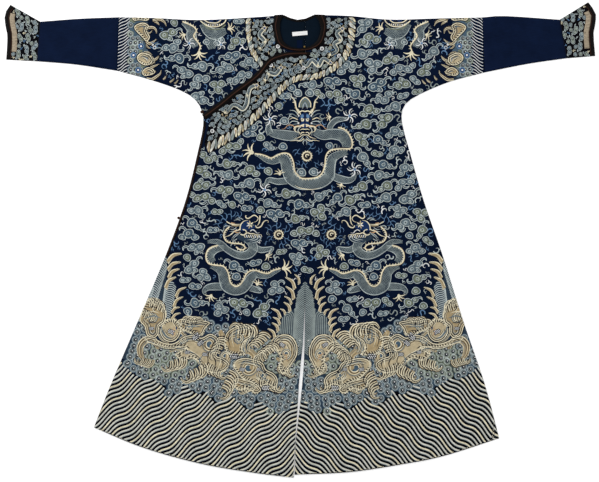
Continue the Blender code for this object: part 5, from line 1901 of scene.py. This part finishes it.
class ROBE_OT_clouds(bpy.types.Operator):
    """Fills the ground with clouds, and the gaps between them with curls"""

    bl_idname = "robe.clouds"
    bl_label = "Clouds"

    def execute(self, context):
        ground, room = SHARED["field"], SHARED["room"]
        rng = random.Random(5)
        spots = []
        for row in range(64, -32, -1):
            for column in range(-42, 43):
                spots.append((column * 11 + rng.uniform(-4, 4), row * 11 + rng.uniform(-4, 4)))
        work = {side: Needlework("clouds_" + side) for side in SIDES}

        def put(kind, x, y, size, turn, flip):
            """Puts a cloud, and below the chest its mirror image across the middle as well."""
            fill = rng.choice(("steel", "olive", "steel", "olive", "deep"))
            middle = middle_at(y)[0]
            ways = [(x, turn, flip)]
            if y < 150 and 20 < abs(x - middle) < 250:
                ways.append((2 * middle - x, -turn, not flip))
            found = False
            for across, angle, turned in ways:
                place = put_cloud(room, kind, across, y, size, angle, turned, 2.6, above_waves)
                if place:
                    found = True
                    cloud(work["left" if across > middle else "right"], place, kind, fill)
            return found

        trefoil = Cloud(((0, 9, 14), (-15, -6, 11.5), (15, -6, 11.5)), ())
        wide = Cloud(((-33, -4, 11), (-12, 5, 14), (12, 5, 14), (33, -4, 11)), ())
        for kind, y in ((trefoil, 112), (wide, 24), (wide, -64)):
            put(kind, middle_at(y)[0], y, 1.0, 0, False)
        single = Cloud(((0, 0, 14),), ())
        paired = Cloud(((-8, 1, 12), (9, -2, 11)), ())
        for x, y in spots:
            if abs(x) < BODY_HALF and above_waves(x, y) and room.free(x, y, 7):
                for _ in range(6):
                    turn = rng.uniform(-32, 32) + rng.choice((0, 180))
                    size = rng.uniform(0.88, 1.04)
                    if put(rng.choice(CLOUDS[:7]), x, y, size, turn, rng.random() < 0.5):
                        break
        for kind in (paired, CLOUDS[7], single):
            for x, y in spots:
                if abs(x) < BODY_HALF and above_waves(x, y) and room.free(x, y, 9):
                    put(kind, x, y, rng.uniform(0.8, 0.95), rng.uniform(-30, 30), False)
        for side in work:
            work[side].lay(ground, "navy_silk")
        small = Needlework("small_curls")
        for size in (1.25, 0.9, 0.6):
            for x, y in spots:
                x, y = x + rng.uniform(-5, 5), y + rng.uniform(-5, 5)
                if abs(x) < 470 and above_waves(x, y) and room.free(x, y, 8.0 * size, 0.6):
                    place = placed(x, y, rng.uniform(0, 360), size, rng.random() < 0.5)
                    colour = rng.choice(("outline", "white", "sky", "scale", "sky"))
                    squiggle(small, place, rng.choice(SQUIGGLES), colour, 2.5 * size)
                    room.take(x, y, 10 * size)
        small.lay(ground, "navy_silk")
        return {"FINISHED"}


class ROBE_OT_sleeves(bpy.types.Operator):
    """Works the bands of waves and rocks round the lower end of the embroidered sleeves"""

    bl_idname = "robe.sleeves"
    bl_label = "Sleeve bands"

    def execute(self, context):
        ground, room = SHARED["field"], SHARED["room"]
        for side in SIDES:
            def place(w, y, sign=1 if side == "left" else -1):
                return sign * (SLEEVE_SEAM - w), y

            stripes = Needlework("sleeve_stripes_" + side)
            for number in range(-4, 25):
                y = 668 - 9.4 * number
                path = []
                for w in range(-1, 42, 4):
                    wave = 1.8 * math.sin(w / 36 * 2 * math.pi + 0.25 * number)
                    path.append((w, y - 18 + 0.62 * w + wave))
                stripes.line("white", laid(place, path), 1.9, 0.2, kind="stripe")
            forms, stitches = Needlework("sleeve_forms_" + side), Needlework("sleeve_stitches_" + side)
            taken = Room(ground)
            for _, outline in SLEEVE_MASSES:
                for point in smooth(outline, 6, closed=True) + smooth([(77, 632), (84, 545), (94, 512)], 8):
                    taken.take(*place(*point.xy), 5)
            for path, width in SLEEVE_FINGERS:
                for point in smooth(path, 4):
                    taken.take(*place(point.x, point.y), width * 0.5)
                    room.take(*place(point.x, point.y), width * 0.6)
            forms.shape("slate", laid(place, SLEEVE_BED), 0.1)
            for row in range(14):
                for column in range(4):
                    w, y = 39 + 14.5 * column + (7 if row % 2 else 0), 678 - 13.5 * row
                    x, real_y = place(w, y)
                    if not ground.shows(x, real_y) or w > 84:
                        continue
                    fill = ("deep", "olive", "deep")[(row + column) % 3]
                    rocky = any(inside(w, y, outline) for _, outline in SLEEVE_MASSES)
                    if taken.free(x, real_y, 3, edge=0.0) and not rocky:
                        bubble(forms, stitches, x, real_y, 0.35 + 0.12 * (row % 3), fill, 0.82)
                    else:
                        forms.dot(fill, x, real_y, 10.8, 0.3, 10, 0.4)
            for colour, outline in SLEEVE_MASSES:
                mass(forms, stitches, place, colour, outline, 13, 3, 0)
                for point in smooth(outline, 8, closed=True):
                    room.take(*place(*point.xy), 7)
            for path, width in SLEEVE_FINGERS:
                line = smooth(path, 4)
                finger(forms, stitches, laid(place, line), width * 1.15)
            for w, y in ((71, 587), (48, 560), (62, 515)):
                for radius, colour, lift in ((9, "sky", 1.0), (6.2, "indigo", 1.15), (3.2, "white", 1.3)):
                    stitches.dot(colour, *place(w, y), radius, lift, 11, 0.1)
            room.take_line([(*place(20, 470 + 12 * k), 120) for k in range(18)])
            strokes(stitches, place, "sky", 2.4, SLEEVE_CURLS, 0.2)
            stitches.dot("white", *place(106, 592), 3.4, 0.3)
            stitches.line("white", laid(place, ring(112, 583, 4.5, 10)), 2.0, 0.3, closed=True)
            stripes.lay(ground, "cream_brocade")
            ground.add(forms.lay(ground, "navy_silk"))
            stitches.lay(ground, "cream_brocade")
        return {"FINISHED"}


class ROBE_OT_collar(bpy.types.Operator):
    """Works the collar band's small dragons, clouds and pearls, and the edging's brocade"""

    bl_idname = "robe.collar"
    bl_label = "Collar and edging"

    def execute(self, context):
        ground = SHARED["collar"]
        room = Room(ground)
        rng = random.Random(11)
        work, small_forms = Needlework("collar_stitches"), Needlework("collar_dragon_forms")
        for dragon in COLLAR_DRAGONS:
            last = len(dragon) - 1
            spine = [(x, y, 13 - 9 * abs(k / last - 0.4)) for k, (x, y) in enumerate(dragon)]
            scaled_body(small_forms, work, spine)
            work.line("cream", beside(smooth(dragon, 4), 4.2), 2.0, 0.4, taper="end")
            small_head(work, dragon)
            claw(work, *dragon[-1], rng.uniform(0, 360), 0.4)
            claw(work, *dragon[2], rng.uniform(0, 360), 0.35)
            room.take_line(smooth(spine, 6), 2)
            room.take(*dragon[0], 7)
        for x, y in COLLAR_PEARLS:
            if ground.shows(x, y):
                work.dot("ink", x, y, 4.4, 0.3, 10, 0.2)
                work.line("white", ring(x, y, 4.8, 14), 2.5, 0.4, closed=True)
                work.dot("white", x, y, 1.5, 0.6, 7, 0.2)
                room.take(x, y, 7)
        spots = []
        for column in range(-44, 26):
            for row in range(40, 98):
                spots.append((column * 7 + rng.uniform(-3, 3), row * 7 + rng.uniform(-3, 3)))
        rng.shuffle(spots)
        for kind, size in COLLAR_CLOUDS:
            for x, y in spots:
                if room.free(x, y, 4, 0.4, edge=0.9):
                    place = put_cloud(room, kind, x, y, size, rng.uniform(-80, 80), rng.random() < 0.5, 0.5)
                    if place:
                        cloud(work, place, kind, rng.choice(("steel", "deep", "steel", "olive")))
        for x, y in spots * 2:
            x, y = x + rng.uniform(-3, 3), y + rng.uniform(-3, 3)
            if room.free(x, y, 4.4, 0.3, edge=0.9):
                tone = rng.choice(("outline", "scale", "outline"))
                place = placed(x, y, rng.uniform(0, 360), 0.32, rng.random() < 0.5)
                cloud(work, place, rng.choice((COLLAR_CLOUDS[1][0], COLLAR_CLOUDS[2][0])), "slate", tone)
                room.take(x, y, 4.4)
        for x, y in spots:
            if room.free(x, y, 2.8, 0.0, edge=0.9):
                colour = rng.choice(("outline", "scale", "sky", "sand", "steel"))
                squiggle(work, placed(x, y, rng.uniform(0, 360), 0.40), rng.choice(SQUIGGLES), colour, 1.8)
                room.take(x, y, 3.2)
        ground.add(small_forms.lay(ground, "navy_silk"))
        work.lay(ground, "navy_silk")

        edging = Needlework("edging_brocade")
        for rows, sign in ((EDGING_LEFT, 1), (EDGING_RIGHT, -1)):
            path = smooth(rows, 2.4)
            for index in range(2, len(path) - 2, 5):
                along = (path[index + 1] - path[index - 1]).to_2d().normalized()
                across = Vector((-along.y, along.x)) * sign
                half = path[index].z / 2
                step = index // 5
                centre = path[index].to_2d() + across * half * 0.10 * (-1) ** step
                turn = math.degrees(math.atan2(along.y, along.x)) + (38, 52, 44, 60)[step % 4] * sign
                long = (1.3, 1.12, 1.22, 1.06)[step % 4] * half
                lean = Vector((math.cos(math.radians(turn)), math.sin(math.radians(turn))))
                side = Vector((-lean.y, lean.x))
                leaf = []
                for k in range(14):
                    part, wide = math.cos(2 * math.pi * k / 14), math.sin(2 * math.pi * k / 14)
                    swell = side * 5.0 * wide * (1 - 0.35 * part * part)
                    leaf.append(centre + lean * long * part + swell + side * 2.6 * part * abs(part))
                edging.shape(("cream", "scale", "stripe", "sand", "cream")[step % 5], leaf, 0.15, 0.7)
                for share, colour, width in (
                        (1.4, "olive", 1.7), (-2.0, "steel", 1.5), (5.6, "ink", 2.6), (-3.6, "white", 1.6)):
                    start = centre + side * share - lean * half * rng.uniform(0.5, 0.8)
                    end = centre + side * share + lean * half * rng.uniform(0.4, 0.8)
                    vein = [start, (start + end) / 2 + side * 0.8, end]
                    edging.line(colour, vein, width, 0.8, taper="both")
                if step % 4 == 1:
                    start, end = centre - lean * half * 0.5, centre + lean * half * 0.3
                    edging.line("blush", [start, end], [2.4, 1.2], 0.95)
            for edge in (0.5, -0.5):
                edging.line("ink", beside(path, lambda width, edge=edge: edge * width), 2.6, 0.3)
        edging.lay(SHARED["edging"], "cream_brocade")
        return {"FINISHED"}


class ROBE_OT_cuffs(bpy.types.Operator):
    """Works the cuffs' clouds and the small curls between them"""

    bl_idname = "robe.cuffs"
    bl_label = "Cuffs"

    def execute(self, context):
        ground = SHARED["cuff"]
        room = Room(ground)
        rng = random.Random(3)
        work = Needlework("cuff_stitches")
        spots = []
        for sign in (-1, 1):
            for column in range(12):
                for row in range(24):
                    out = 795 + column * 8 + rng.uniform(-3, 3)
                    spots.append((sign * out, 540 + row * 8 + rng.uniform(-3, 3)))
        rng.shuffle(spots)
        for kind, size in COLLAR_CLOUDS:
            for x, y in spots:
                if room.free(x, y, 5, 0.6, edge=0.8):
                    turn = 90 + rng.uniform(-35, 35)
                    place = put_cloud(room, kind, x, y, size, turn, rng.random() < 0.5, 1.0)
                    if place:
                        cloud(work, place, kind, rng.choice(("steel", "olive")))
        for x, y in spots:
            if room.free(x, y, 3.2, 0.0, edge=0.8):
                place, kind = placed(x, y, rng.uniform(0, 360), 0.4), rng.choice(SQUIGGLES)
                squiggle(work, place, kind, rng.choice(("outline", "cream", "sky")), 1.6)
                room.take(x, y, 3.6)
        work.lay(ground, "navy_silk")
        return {"FINISHED"}


class ROBE_OT_edges(bpy.types.Operator):
    """Runs the fine dark edge and its running stitches along the hem, the wrist seams and the cords along the
    cuffs' bindings
    """

    bl_idname = "robe.edges"
    bl_label = "Hem edge and stitches"

    def execute(self, context):
        edge = Needlework("hem_edge")
        for node in ("left_half", "front_overlap"):
            for loop in ordered_rim(node):
                run = [p for p in loop if p[1] < -540 and p[0] * (1 if node == "left_half" else -1) > -30]
                run.sort(key=lambda p: p[0])
                low = [p for p in run if abs(p[0] - middle_at(p[1])[0]) > 6 and abs(p[0]) < 600]
                if len(low) > 3:
                    edge.line("ink", [(x, y + 1.6) for x, y in low], 3.4, 0.3)
                    dashes = smooth([(x, y + 3.4) for x, y in low], 4)
                    for index in range(0, len(dashes) - 2, 4):
                        edge.line("cream", dashes[index : index + 2], 1.6, 0.35)
        edge.lay(SHARED["field"], "navy_silk")
        wrists = Needlework("wrist_seams")
        for ends in WRISTS:
            wrists.line("ink", smooth(ends, 6), 2.6, 0.1, kind="flat")
        wrists.lay(Ground(cloth_pieces(CUFFS + EXTENSIONS)), "midnight_silk")
        piping = Needlework("cuff_piping")
        for rows in CUFF_MOUTHS:
            sign = 1 if rows[0][0] > 0 else -1
            piping.line("brown", beside(smooth(rows, 5)[1:-1], -sign * 12.6), 2.2, 0.0, kind="cord")
        covers = [bpy.data.objects[side + "_cuff_binding_cover"] for side in SIDES]
        piping.lay(Ground(cloth_pieces(CUFFS) + covers), "brown_silk")
        return {"FINISHED"}


class ROBE_PT_panel(bpy.types.Panel):
    """The steps that dress the robe, in order"""

    bl_label = "Dragon robe"
    bl_idname = "ROBE_PT_panel"
    bl_space_type = "VIEW_3D"
    bl_region_type = "UI"
    bl_category = "Robe"

    def draw(self, context):
        for group in (context.scene.robe_cloth, context.scene.robe_threads, context.scene.robe_stage):
            box = self.layout.box()
            for name in group.__annotations__:
                box.prop(group, name)
        for step in STEPS:
            self.layout.operator(step.bl_idname)


STEPS = (
    ROBE_OT_stage, ROBE_OT_cloth, ROBE_OT_trimmings, ROBE_OT_fastenings, ROBE_OT_skirt,
    ROBE_OT_dragons, ROBE_OT_sleeves, ROBE_OT_clouds, ROBE_OT_collar, ROBE_OT_cuffs, ROBE_OT_edges,
)
GROUPS = (RobeCloth, RobeThreads, RobeStage)


def register():
    for kind in GROUPS + STEPS + (ROBE_PT_panel,):
        bpy.utils.register_class(kind)
    bpy.types.Scene.robe_cloth = PointerProperty(type=RobeCloth)
    bpy.types.Scene.robe_threads = PointerProperty(type=RobeThreads)
    bpy.types.Scene.robe_stage = PointerProperty(type=RobeStage)


def unregister():
    del bpy.types.Scene.robe_stage
    del bpy.types.Scene.robe_threads
    del bpy.types.Scene.robe_cloth
    for kind in reversed(GROUPS + STEPS + (ROBE_PT_panel,)):
        bpy.utils.unregister_class(kind)


def main():
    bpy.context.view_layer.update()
    register()
    for step in STEPS:
        group, name = step.bl_idname.split(".")
        getattr(getattr(bpy.ops, group), name)()


if __name__ == "__main__":
    main()
